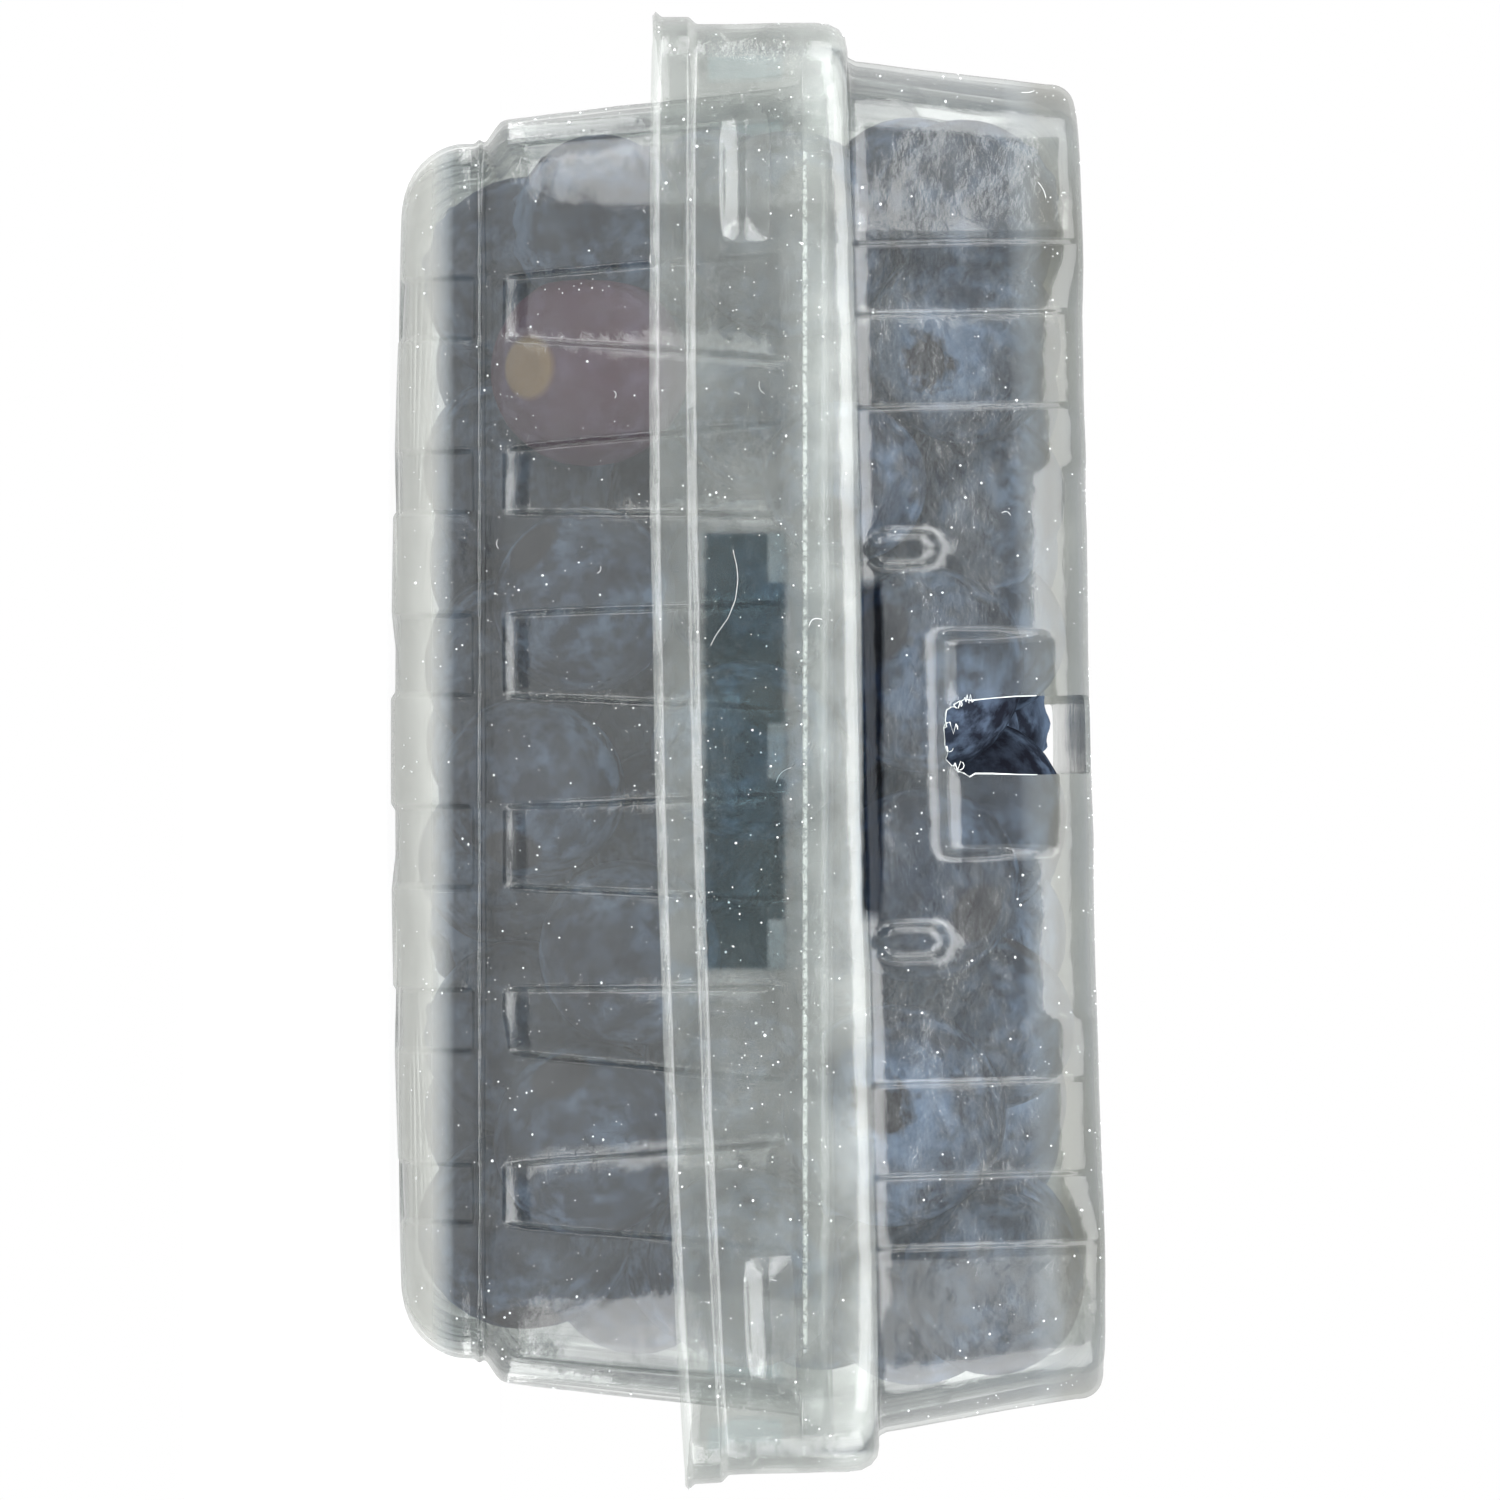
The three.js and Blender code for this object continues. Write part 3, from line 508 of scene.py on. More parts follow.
        # No haze in the painted dark streak
        haze_and_painted_cover = times(haze_and_painted_cover, ramped(dark_streak, 0, 1, 1.0, 0.0))
    else:
        rim_cut = times(within(up, *RIM_UP, 0.0001), within(out, *RIM_OUT, 0.0001))
        rim_cut = times(rim_cut, ramped(noise(1500, 2), 0.42, 0.58, 0.08, 0.5))
        haze_and_painted_cover = reckon("MAXIMUM", haze_and_painted_cover, rim_cut)
    # Painted reflection of the bright floor: a heavier pale layer on the tray's foot
    haze_and_painted_cover = reckon("MULTIPLY_ADD", on_foot, FOOT_REFLECTION_COVER, haze_and_painted_cover)
    hazed_and_painted = sheet.mixed(haze_and_painted_cover, clear.outputs["BSDF"], diffuse_layer.outputs["BSDF"])

    gloss = nodes.new("ShaderNodeBsdfGlossy")
    gloss.inputs["Roughness"].default_value = SHEET_ROUGHNESS
    rippled = sheet.bump(noise(170, 2), 0.0003, 0.6)
    links.new(sheet.bump(noise(800, 3), 0.00008, 0.6, rippled), gloss.inputs["Normal"])
    steep = reckon("POWER", facing.outputs["Facing"], 4)
    mirrored = times(ramped(steep, 0, 1, HEAD_ON_GLOSS, SLANTED_GLOSS), ramped(apart, 0, 1, 0.7, 1.0))
    # Less gloss in the painted dark streak
    if is_lid:
        mirrored = times(mirrored, ramped(dark_streak, 0, 1, 1.0, 0.3))
    whole = sheet.mixed(mirrored, hazed_and_painted, gloss.outputs["BSDF"])
    links.new(whole, nodes["Material Output"].inputs["Surface"])
    nodes.remove(nodes["Principled BSDF"])
    return sheet.material


TRAY_PLASTIC = clear_plastic("tray_plastic", haze=0.022, skirt_haze=0.015, is_lid=False)
tray_mesh = sheet_mesh("tray", tray_rings, True, SHEET, tray_waver)
smooth_shaded(tray_mesh, 50)
tray = add_piece("tray", tray_mesh, TRAY_PLASTIC)
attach(tray, "root")
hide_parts("base_tray")

# Lid
# The upper half, drawn from the same sheet: a deep skirt that snaps over the tray's rim, a flat
# shoulder, ribbed walls with small stacking lugs, and a shallow pocket on each side for its vent.
SKIRT_HALF = 59.0
SKIRT_ROUND = 7.6
SKIRT_BOW = 1.1
SHOULDER_Z = 37.35
LID_CORNER = 41.0
LID_FOOT_HALF = 56.4
LID_FOOT_Z = 38.1
LID_TOP_HALF = 54.1
LID_TOP_Z = 56.0
LID_DOME = 0.4
LID_RIB_PROUD = 0.6
LID_RIB = [27.7, 34.6]
LID_ROUND = 4.6
LID_CORNER_ROUND = 2.2
PANEL_EDGE = 21.5
PANEL_FLANK = 1.4
PANEL_ROUND = 6.4
LID_SQUARE = 0.9
PANEL_LEAN = 0.4
POCKET_HALF = 9.3
POCKET_FLANK = 1.3
POCKET_FOOT_Z = 43.1
POCKET_FACE = 52.9
LUG_AT = 15.9
LUG_FOOT_Z = 37.8
LUG_TOP_Z = 44.1
LUG_HALF = 1.7
LUG_PROUD = 1.2
SNAP_FROM = 40.9
SNAP_TO = 51.0
SNAP_Z = 28.9
SNAP_HALF = 1.9
SNAP_DEEP = 1.1
# Up the skirt and over the shoulder: half width, height, 0 on the skirt and 1 on the wall, bow, cut
SKIRT = [
    (60.1, 21.8, 0, 1, 0),
    (59.65, 22.3, 0, 1, 0.12),
    (59.6, 24.5, 0, 0.9, 0.15),
    (59.0, 25.1, 0, 0.85, 0.2),
    (59.0, 27.0, 0, 0.7, 0.3),
    (59.0, 31.0, 0, 0.4, 0.3),
    (59.0, 37.35, 0, 0, 2.6),
    (56.8, 37.35, 1, 0, 0.35),
    (56.4, 38.1, 1, 0, 0),
]


def lid_edges():
    """Half a side of the lid's wall: places, then how proud it stands and 1 on the middle panel."""
    edges = [(0, 0, 0, 1), (POCKET_HALF - 1.6, 0, 0, 1), (POCKET_HALF + 0.4, 0, 0, 1)]
    edges += [(LUG_AT - 2.2, 0, 0, 1), (LUG_AT + 2.2, 0, 0, 1)]
    edges += [(PANEL_EDGE, 0, 0, 1), (PANEL_EDGE + PANEL_FLANK, 0, 0, 0)]
    inner, outer = LID_RIB
    edges += [(inner - RIB_FLANK, 0, 0, 0), (inner, 0, 1, 0), (outer, 0, 1, 0)]
    edges += [(outer + RIB_FLANK, 0, 0, 0), (LID_CORNER - RIB_FLANK, 0, 0, 0), (LID_CORNER, 0, 1, 0)]
    return edges


def lid_columns():
    """Columns that crowd together where a lug or the edge of the pocket needs them."""
    at, _, proud, panel = columns_from(lid_edges(), pitch=2.0, flank_steps=5)
    crowded = [(POCKET_HALF - 1.6, POCKET_HALF + 0.4, 8), (LUG_AT - 2.2, LUG_AT + 2.2, 13)]
    for low, high, count in crowded:
        keep = (at <= low + 1e-6) | (at >= high - 1e-6)
        extra = np.linspace(low, high, count)[1:-1]
        at = np.concatenate([at[keep], extra])
        proud = np.concatenate([proud[keep], np.zeros(len(extra))])
        panel = np.concatenate([panel[keep], np.ones(len(extra))])
    order = np.argsort(at)
    return at[order], proud[order], panel[order]


def skirt_corner(half, straight_steps, round_steps):
    """Straight on from the flat side and round to the middle of the skirt's tight corner."""
    turn_at = SKIRT_HALF - SKIRT_ROUND
    reach = half - turn_at
    straight = np.linspace(LID_CORNER, turn_at, straight_steps + 1)[1:]
    turns = np.radians(np.linspace(0, 45, round_steps + 1)[1:])
    along = np.concatenate([straight, turn_at + reach * np.sin(turns)])
    out = np.concatenate([np.full(straight_steps, half), turn_at + reach * np.cos(turns)])
    return along, out


def pill(along, up, middle, from_z, to_z, half):
    """0 outside an upright pill shape, rising to 1 over its rounded shoulder."""
    beside = abs(along - middle)
    over = np.maximum(np.maximum(from_z + half - up, up - (to_z - half)), 0)
    return eased((1 - np.hypot(beside, over) / half) / 0.45)


def pressed_forms(side, along, out, up):
    """The lugs, pocket and snap dents pressed into one side: the wall's place with them."""
    on_wall = up > LID_FOOT_Z - 0.6
    for place in (-LUG_AT, LUG_AT):
        lug = pill(along, up, place, LUG_FOOT_Z, LUG_TOP_Z, LUG_HALF)
        out = out + on_wall * LUG_PROUD * lug
    inside = eased((POCKET_HALF + 0.2 - abs(along)) / POCKET_FLANK)
    above = eased((up - POCKET_FOOT_Z) / 1.6)
    out = mix(out, np.minimum(out, POCKET_FACE), inside * above)
    short_of = SNAP_FROM + SNAP_HALF - abs(along)
    past = abs(along) - (SNAP_TO - SNAP_HALF)
    beside = np.maximum(np.maximum(short_of, past), 0)
    groove = eased((1 - np.hypot(beside, up - SNAP_Z) / SNAP_HALF) / 0.6)
    return out - (up < SHOULDER_Z) * SNAP_DEEP * groove


def lid_ring(half, heights, on_wall, bow, proud_share, panel_lean, turn=None):
    at, proud, panel = LID_COLUMNS
    along = np.array(at)
    ribbed = LID_RIB_PROUD * (1 - proud) * proud_share * mix(1, panel_lean, panel)
    out = half - ribbed
    if turn is not None:
        out = LID_TOP_HALF - LID_ROUNDING * (1 - math.cos(turn) ** LID_SQUARE) - ribbed
        heights = LID_TOP_Z - LID_ROUNDING * (1 - math.sin(turn) ** LID_SQUARE)
        half = out[-1]
    heights = np.broadcast_to(heights, along.shape)
    corner_steps = CORNER_STRAIGHT + CORNER_ROUND
    wall_along, wall_out = faceted_corner(LID_CORNER, half, corner_steps, LID_RIDGE_DEG, 0)
    skirt_along, skirt_out = skirt_corner(half, CORNER_STRAIGHT, CORNER_ROUND)
    along = np.concatenate([along, mix(skirt_along, wall_along, on_wall)])
    out = np.concatenate([out, mix(skirt_out, wall_out, on_wall)])
    heights = np.concatenate([heights, np.full(len(wall_along), heights[-1])])
    along, out, heights = whole_side(along, [out, heights])
    outs, ups = [], []
    for side in range(4):
        hang = 0 if side % 2 else SKIRT_BOW * bow * (1 - (along / SKIRT_HALF) ** 2)
        outs.append(pressed_forms(side, along, out, heights))
        ups.append(heights - hang)
    return round_four_sides([along] * 4, outs, ups)


LID_COLUMNS = lid_columns()
from_rib = eased((LID_COLUMNS[0] - LID_RIB[1] - RIB_FLANK) / (LID_CORNER - LID_RIB[1] - 2 * RIB_FLANK))
LID_ROUNDING = mix(mix(LID_ROUND, LID_CORNER_ROUND, from_rib), PANEL_ROUND, LID_COLUMNS[2])
CORNER_STRAIGHT = 10
LID_RIDGE_DEG = 38
CORNER_ROUND = 6
lid_rings = []
for half, up, on_wall, bow in rounded_rows(SKIRT, pitch=1.1, steps=4):
    lid_rings.append(lid_ring(half, up, on_wall, bow, on_wall, 1))
wall_top = LID_TOP_Z - LID_ROUNDING
wall_shares = np.concatenate([np.linspace(0, 0.55, 13)[1:], np.linspace(0.55, 1, 6)[1:-1]])
for share in wall_shares:
    half = mix(LID_FOOT_HALF, LID_TOP_HALF, share)
    heights = mix(LID_FOOT_Z, wall_top, share)
    lid_rings.append(lid_ring(half, heights, 1, 0, 1, mix(1, PANEL_LEAN, share)))
for degrees in (0, 8, 16, 24, 32, 40, 48, 56, 64, 72, 80, 86, 90):
    turn = math.radians(min(degrees, 89.99))
    lid_rings.append(lid_ring(0, 0, 1, 0, math.cos(turn), PANEL_LEAN, turn))
top_ring = lid_rings[-1]
for share in (0.97, 0.9, 0.8, 0.68, 0.55, 0.4, 0.25, 0.1):
    ring = top_ring * [share, share, 1]
    ring[:, 2] = LID_TOP_Z + LID_DOME * (1 - share ** 2)
    lid_rings.append(ring)


def lid_waver(points):
    return unevenness(points, 19, 0.06, 21) + unevenness(points, 6, 0.02, 22)


lid_mesh = sheet_mesh("lid_sheet", lid_rings, False, SHEET, lid_waver)
lid = add_piece("lid_cover", lid_mesh, None)

# Vent slots
# A slot is punched through the pocket and on over the edge of the top on each side. The punch
# leaves a torn round end with burrs of clear plastic standing round it.
SLOT_HALF = 3.15
SLOT_FOOT_Z = 43.9
SLOT_ON_TOP = 6.5
SLOT_SHIFT = [-0.6, 0.1, 0.3, -0.2]
WALL_CUT_DEPTH = 3
TOP_CUT_DEPTH = 3.5
ABOVE_ALL = 60
OUTSIDE_ALL = 62


def torn_end(seed, shift, foot, top, ragged):
    """The slot's outline as [across, along] from its open end, down round the torn end and back."""
    draws = random.Random(seed)
    across, lengthways = [], []
    straight_from = foot + SLOT_HALF * 0.75
    for step in range(9):
        across.append(-SLOT_HALF)
        lengthways.append(mix(top, straight_from, step / 8))
    for step in range(1, 24):
        turn = math.pi * step / 24
        across.append(-SLOT_HALF * math.copysign(abs(math.cos(turn)) ** 0.8, math.cos(turn)))
        lengthways.append(straight_from - (straight_from - foot) * math.sin(turn) ** 0.8)
    for step in range(9):
        across.append(SLOT_HALF)
        lengthways.append(mix(straight_from, top, step / 8))
    outline = []
    for index, (x, z) in enumerate(zip(across, lengthways)):
        torn = ragged * (0.6 if 6 < index < 34 else 0.21)
        torn_across = draws.uniform(-torn, torn)
        outline.append((x + shift + torn_across, z + draws.uniform(-torn, torn)))
    return outline


def on_wall_place(across, up, outwards):
    return across, -outwards, up


def on_top_place(across, outwards, up):
    return across, -LID_TOP_HALF - outwards, up


def prism(name, outline, place, low, high):
    """A closed prism of an outline, from low to high along the direction that 'place' leaves free."""
    count = len(outline)
    points = [place(a, b, low) for a, b in outline] + [place(a, b, high) for a, b in outline]
    faces = [tuple(range(count)), tuple(range(2 * count - 1, count - 1, -1))]
    faces += [(i, i + count, (i + 1) % count + count, (i + 1) % count) for i in range(count)]
    mesh = bpy.data.meshes.new(name)
    mesh.from_pydata([Vector(point) * MM for point in points], [], faces)
    mesh.update()
    return mesh


def outward(mesh):
    """Turns a closed mesh's faces outwards."""
    work = bmesh.new()
    work.from_mesh(mesh)
    bmesh.ops.recalc_face_normals(work, faces=work.faces)
    work.to_mesh(mesh)
    work.free()


slot_outlines = []
for side in range(4):
    outline = torn_end(40 + side, SLOT_SHIFT[side], SLOT_FOOT_Z, ABOVE_ALL, 0.34)
    slot_outlines.append(outline)
    on_top = torn_end(60 + side, SLOT_SHIFT[side], -SLOT_ON_TOP, OUTSIDE_ALL - LID_TOP_HALF, 0.12)
    inner_end = LID_TOP_HALF - WALL_CUT_DEPTH
    wall_cut = prism("wall_cut", outline, on_wall_place, inner_end, OUTSIDE_ALL)
    lower_end = LID_TOP_Z - TOP_CUT_DEPTH
    top_cut = prism("top_cut", on_top, on_top_place, lower_end, ABOVE_ALL + 1)
    for cut in (wall_cut, top_cut):
        cut.transform(Matrix.Rotation(math.radians(90 * side), 4, "Z"))
        outward(cut)
        cutter = add_piece("cutter", cut, None)
        punched = lid.modifiers.new("punched", "BOOLEAN")
        punched.operation = "DIFFERENCE"
        punched.solver = "MANIFOLD"
        punched.object = cutter
        cut_lid = lid.evaluated_get(bpy.context.evaluated_depsgraph_get())
        shaped = bpy.data.meshes.new_from_object(cut_lid)
        lid.modifiers.clear()
        lid.data = shaped
        bpy.data.objects.remove(cutter)

# The lid sits down on the rim at -X and is tipped up towards +X
hinge_line = Vector((-SKIRT_HALF, 0, SHOULDER_Z)) * MM
tip = Matrix.Translation(hinge_line) @ Matrix.Rotation(math.radians(-LID_TIP_DEG), 4, "Y")
tip = tip @ Matrix.Translation(-hinge_line)
lid.data.transform(tip)
corners = np.array([vertex.co for vertex in lid.data.vertices])
off_centre = Matrix.Translation((-(corners[:, 0].min() + corners[:, 0].max()) / 2, 0, 0))
lid.data.transform(off_centre)
lid_place = off_centre @ tip

LID_PLASTIC = clear_plastic("lid_plastic", haze=0.026, skirt_haze=0.056, is_lid=True)
lid.data.materials.clear()
lid.data.materials.append(LID_PLASTIC)
smooth_shaded(lid.data, 50)
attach(lid, "root")
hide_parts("lid")


def tube_along(path, radii, sides):
    """Points and faces of a closed thin tube along a path, thinner or thicker as its radii say."""
    path = np.array(path, float)
    heading = np.gradient(path, axis=0)
    heading /= np.maximum(np.linalg.norm(heading, axis=1, keepdims=True), 1e-9)
    helper = np.where(abs(heading[:, 2:3]) > 0.9, [[1.0, 0, 0]], [[0, 0, 1.0]])
    one = np.cross(heading, helper)
    one /= np.linalg.norm(one, axis=1, keepdims=True)
    two = np.cross(heading, one)
    turns = np.arange(sides) * 2 * math.pi / sides
    ring = one[:, None] * np.cos(turns)[:, None] + two[:, None] * np.sin(turns)[:, None]
    points = (path[:, None] + ring * np.array(radii)[:, None, None]).reshape(-1, 3)
    faces = []
    for step in range(len(path) - 1):
        for turn in range(sides):
            a = step * sides + turn
            b = step * sides + (turn + 1) % sides
            faces.append((a, b, b + sides, a + sides))
    last = (len(path) - 1) * sides
    faces.append(tuple(range(sides - 1, -1, -1)))
    faces.append(tuple(range(last, last + sides)))
    return points, faces


def joined(parts):
    """One list of points and faces from several."""
    points, faces, count = [], [], 0
    for part_points, part_faces in parts:
        points.append(np.asarray(part_points))
        faces += [tuple(corner + count for corner in face) for face in part_faces]
        count += len(part_points)
    return np.concatenate(points), faces


burrs = []
for side in range(4):
    draws = random.Random(80 + side)
    turned = np.array(Matrix.Rotation(math.radians(90 * side), 3, "Z"))
    wall_face = POCKET_FACE - SHEET * 0.3
    edge = [(a, -wall_face + draws.uniform(-0.15, 0.15), b) for a, b in slot_outlines[side][5:36]]
    radii = [draws.uniform(0.025, 0.075) for _ in edge]
    points, faces = tube_along(edge, radii, 6)
    burrs.append((points @ turned.T, faces))
    for _ in range(5):
        start = draws.randrange(4, 22)
        a, b = slot_outlines[side][5 + start]
        bend = draws.uniform(2, 5)
        reach = draws.uniform(0.25, 0.6)
        curl = []
        for step in range(9):
            t = step / 8
            curl.append((
                a + reach * math.sin(bend * t) * draws.choice((-1, 1, 1)) * 0.9,
                -wall_face - reach * t,
                b + reach * (1 - math.cos(bend * t)),
            ))
        points, faces = tube_along(curl, np.linspace(0.06, 0.02, 9), 5)
        burrs.append((points @ turned.T, faces))
points, faces = joined(burrs)
burr_mesh = bpy.data.meshes.new("vent_burrs")
burr_mesh.from_pydata((points * MM).tolist(), [], faces)
burr_mesh.transform(lid_place)
smooth_shaded(burr_mesh, 60)
BURR_PLASTIC = bpy.data.materials.new("torn_plastic")
BURR_PLASTIC.use_nodes = True
torn = BURR_PLASTIC.node_tree.nodes["Principled BSDF"]
torn.inputs["Base Color"].default_value = (0.86, 0.9, 0.9, 1)
torn.inputs["Roughness"].default_value = 0.3
torn.inputs["Alpha"].default_value = 0.8
vent_burrs = add_piece("vent_burrs", burr_mesh, BURR_PLASTIC)
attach(vent_burrs, "root")

# Blueberries
# Fresh berries piled loose in the punnet and pressed against its walls. Each is a slightly flattened
# ball with a five-pointed crown at one end, a stem scar at the other and a waxy bloom on its skin.
BERRY_SEED = 4127
BERRY_LAYERS = 4
BERRIES_ACROSS = 6
BERRY_RADIUS = 8.25
BERRY_SPREAD = 1.0
BERRY_JITTER = 2.0
FIRST_LAYER_Z = 10
LAYER_PITCH = 12
SETTLE_PASSES = 300
WALL_PULL = 0.12
PULL_PASSES = 200
TAKEN_WITHIN = 8.0
HEAP_FOOT_Z = 1.9
HEAP_CORNER = 2.5
HEAP_WALL_TOP_Z = 50.2
HEAP_HALF = 42.2
WALL_CLEARANCE = 1.85
LID_CLEARANCE = 1.15
# Held against the near wall: place along it, height, radius, and the way its crown points
NEAR_BERRIES = [
    (-31.3, 16.3, 8.2, (0.0, 0.75, 0.66)),
    (-12.4, 15.9, 7.9, (0.6, 0.5, 0.6)),
    (3.0, 11.5, 7.8, (-0.7, 0.6, 0.2)),
    (16.6, 19.6, 7.7, (0.2, 0.7, -0.7)),
    (31.9, 16.3, 8.2, (0.7, 0.6, 0.3)),
    (-33.5, 47.0, 8.2, (0.26, -0.87, -0.41)),
    (-22.0, 37.2, 6.8, (-0.5, 0.8, 0.2)),
    (-6.7, 43.8, 8.5, (0.4, 0.8, 0.5)),
    (11.0, 43.5, 8.3, (-0.3, 0.7, -0.6)),
    (29.9, 41.2, 9.2, (-0.1, -0.98, -0.12)),
]
REDDISH = 0


class Berry:
    def __init__(self, x, y, z, radius, crown):
        self.x, self.y, self.z = x, y, z
        self.radius = radius
        self.crown = crown
        self.held = crown is not None


berry_draws = BERRY_SEED


def draw():
    """A seeded draw between 0 and 1, the same that the solids' heap takes."""
    global berry_draws
    berry_draws = berry_draws * 16807 % 2147483647
    return berry_draws / 2147483647


def lid_wall_half(up):
    return mix(LID_FOOT_HALF, LID_TOP_HALF, (up - LID_FOOT_Z) / (HEAP_WALL_TOP_Z - LID_FOOT_Z))


def room_at(up):
    """Half width that the walls leave at a height, less the sheet, its channels and a clearance."""
    if up > LID_FOOT_Z - 1.5:
        return lid_wall_half(max(up, LID_FOOT_Z)) - WALL_CLEARANCE - 0.3
    if up > STEP_TOP_Z:
        share = (up - STEP_TOP_Z) / (WALL_TOP_Z - STEP_TOP_Z)
        return mix(51.7, 54.5, share) - WALL_CLEARANCE
    rise = max(0, FOOT_RADIUS - max(up - FLOOR_BOW, 0))
    bulge = math.sqrt(max(0, FOOT_RADIUS * FOOT_RADIUS - rise * rise))
    return FLOOR_EDGE_HALF + bulge - WALL_CLEARANCE


def room_for(berry, beside):
    """How far from the middle a berry's centre may lie."""
    room = 1000
    for share in (-0.8, -0.6, -0.4, -0.2, 0, 0.2, 0.4, 0.6, 0.8):
        reach = berry.radius * math.sqrt(1 - share * share)
        room = min(room, room_at(berry.z + share * berry.radius) - reach)
    near_pocket = abs(beside) < POCKET_HALF + berry.radius * 0.8
    if near_pocket and berry.z + berry.radius * 0.6 > POCKET_FOOT_Z:
        room = min(room, POCKET_FACE - LID_CLEARANCE - berry.radius)
    return room


def clamped(value, low, high):
    return min(max(value, low), high)


def keep_inside(berry):
    tipped_up = (berry.x + SKIRT_HALF) * math.sin(math.radians(LID_TIP_DEG))
    lid_height = LID_TOP_Z - LID_CLEARANCE + tipped_up
    berry.z = clamped(berry.z, HEAP_FOOT_Z + berry.radius, lid_height - berry.radius)
    room_x = room_for(berry, berry.y)
    room_y = room_for(berry, berry.x)
    berry.x = clamped(berry.x, -room_x, room_x)
    berry.y = clamped(berry.y, -room_y, room_y)
    over_x = abs(berry.x) - (room_x - HEAP_CORNER)
    over_y = abs(berry.y) - (room_y - HEAP_CORNER)
    over = math.hypot(over_x, over_y)
    if over_x > 0 and over_y > 0 and over > HEAP_CORNER:
        keep = HEAP_CORNER / over
        berry.x = math.copysign(room_x - HEAP_CORNER + over_x * keep, berry.x)
        berry.y = math.copysign(room_y - HEAP_CORNER + over_y * keep, berry.y)


def push_apart(one, other):
    dx, dy, dz = other.x - one.x, other.y - one.y, other.z - one.z
    reach = one.radius + other.radius
    squared = dx * dx + dy * dy + dz * dz
    if squared >= reach * reach:
        return
    distance = math.sqrt(squared) + 1e-6
    push = (reach - distance) / distance / ((not one.held) + (not other.held) or 1)
    if not one.held:
        one.x -= dx * push
        one.y -= dy * push
        one.z -= dz * push
    if not other.held:
        other.x += dx * push
        other.y += dy * push
        other.z += dz * push


def draw_to_walls(berry):
    for axis in ("x", "y"):
        place = getattr(berry, axis)
        if abs(place) > HEAP_HALF - 2 * BERRY_RADIUS:
            setattr(berry, axis, place + math.copysign(WALL_PULL, place))


def settled_berries():
    """A jittered grid of berries that settles until none overlaps much."""
    berries = []
    for x, z, radius, crown in NEAR_BERRIES:
        berry = Berry(x, 0, z, radius, crown)
        berry.y = -room_for(berry, x)
        berries.append(berry)
    held = list(berries)
    pitch = 2 * room_at(20) / BERRIES_ACROSS
    middle = (BERRIES_ACROSS - 1) / 2
    for layer in range(BERRY_LAYERS):
        for row in range(BERRIES_ACROSS):
            for place in range(BERRIES_ACROSS):
                x = (place - middle) * pitch + (draw() - 0.5) * BERRY_JITTER
                y = (row - middle) * pitch + (draw() - 0.5) * BERRY_JITTER
                z = FIRST_LAYER_Z + layer * LAYER_PITCH + (draw() - 0.5) * BERRY_JITTER
                radius = BERRY_RADIUS + (draw() + draw() - 1) * BERRY_SPREAD
                gaps = [math.dist((x, y, z), (other.x, other.y, other.z)) for other in held]
                if min(gaps) >= TAKEN_WITHIN:
                    berries.append(Berry(x, y, z, radius, None))
    loose = [berry for berry in berries if not berry.held]
    for settling in range(SETTLE_PASSES):
        if settling < PULL_PASSES:
            for berry in loose:
                draw_to_walls(berry)
        for index, one in enumerate(berries):
            for other in berries[index + 1:]:
                push_apart(one, other)
        for berry in loose:
            keep_inside(berry)
    return berries


BERRY_TALL = 0.93
CROWN_TURN = 0.30
STAR_TURN = 0.75
CROWN_LOBES = 5


def berry_shape(radius, across, draws):
    """One berry about its own centre, crown at +Z: points, faces, and each point's turn from it."""
    near_crown = [0.06, 0.13, 0.19, 0.235, 0.27, 0.30, 0.33, 0.37, 0.42, 0.5]
    if across < 24:
        near_crown = [0.1, 0.2, 0.27, 0.32, 0.4]
    rest = list(np.linspace(0.62, math.pi - 0.3, across // 2 - 2))
    near_stem = [math.pi - 0.2, math.pi - 0.13, math.pi - 0.07]
    turns = np.array(near_crown + rest + near_stem)
    spin = draws.uniform(0, 2 * math.pi)
    angles = np.arange(across) * 2 * math.pi / across
    turn, angle = np.meshgrid(turns, angles, indexing="ij")
    lobes = 0.5 + 0.5 * np.cos(CROWN_LOBES * angle + spin)
    crater = eased((CROWN_TURN - 0.04 - turn) / 0.16)
    rim = np.exp(-((turn - CROWN_TURN) / 0.055) ** 2)
    scar = eased((turn - (math.pi - 0.2)) / 0.12)
    length = 1 - 0.16 * crater + rim * (0.015 + 0.04 * lobes ** 1.5) - 0.035 * scar
    uneven = np.zeros_like(turn)
    for wave in range(2, 5):
        uneven += np.sin(wave * angle + draws.uniform(0, 6.3)) * np.sin(turn) / wave
    length = length + 0.008 * uneven
    squeeze = draws.uniform(-0.03, 0.03)
    x = np.sin(turn) * np.cos(angle) * length * (1 + squeeze)
    y = np.sin(turn) * np.sin(angle) * length * (1 - squeeze)
    z = np.cos(turn) * length * (BERRY_TALL + draws.uniform(-0.03, 0.03))
    points = np.stack([x, y, z], axis=-1).reshape(-1, 3)
    first = np.array([[0, 0, z[0].mean() - 0.01]])
    last = np.array([[0, 0, z[-1].mean()]])
    points = np.concatenate([points, first, last]) * radius
    faces = []
    rows = len(turns)
    for row in range(rows - 1):
        for column in range(across):
            beside = (column + 1) % across
            a, b = row * across + column, row * across + beside
            faces.append((a, a + across, b + across, b))
    for column in range(across):
        beside = (column + 1) % across
        faces.append((rows * across, column, beside))
        faces.append((rows * across + 1, (rows - 1) * across + beside, (rows - 1) * across + column))
    from_crown = np.concatenate([turn.reshape(-1), [0], [math.pi]])
    return points, faces, from_crown


# A berry this deep in the heap is seen through gaps at most, and has fewer faces
DEEP_FROM = 8
DEEP_ACROSS = 18
OUTER_ACROSS = 30


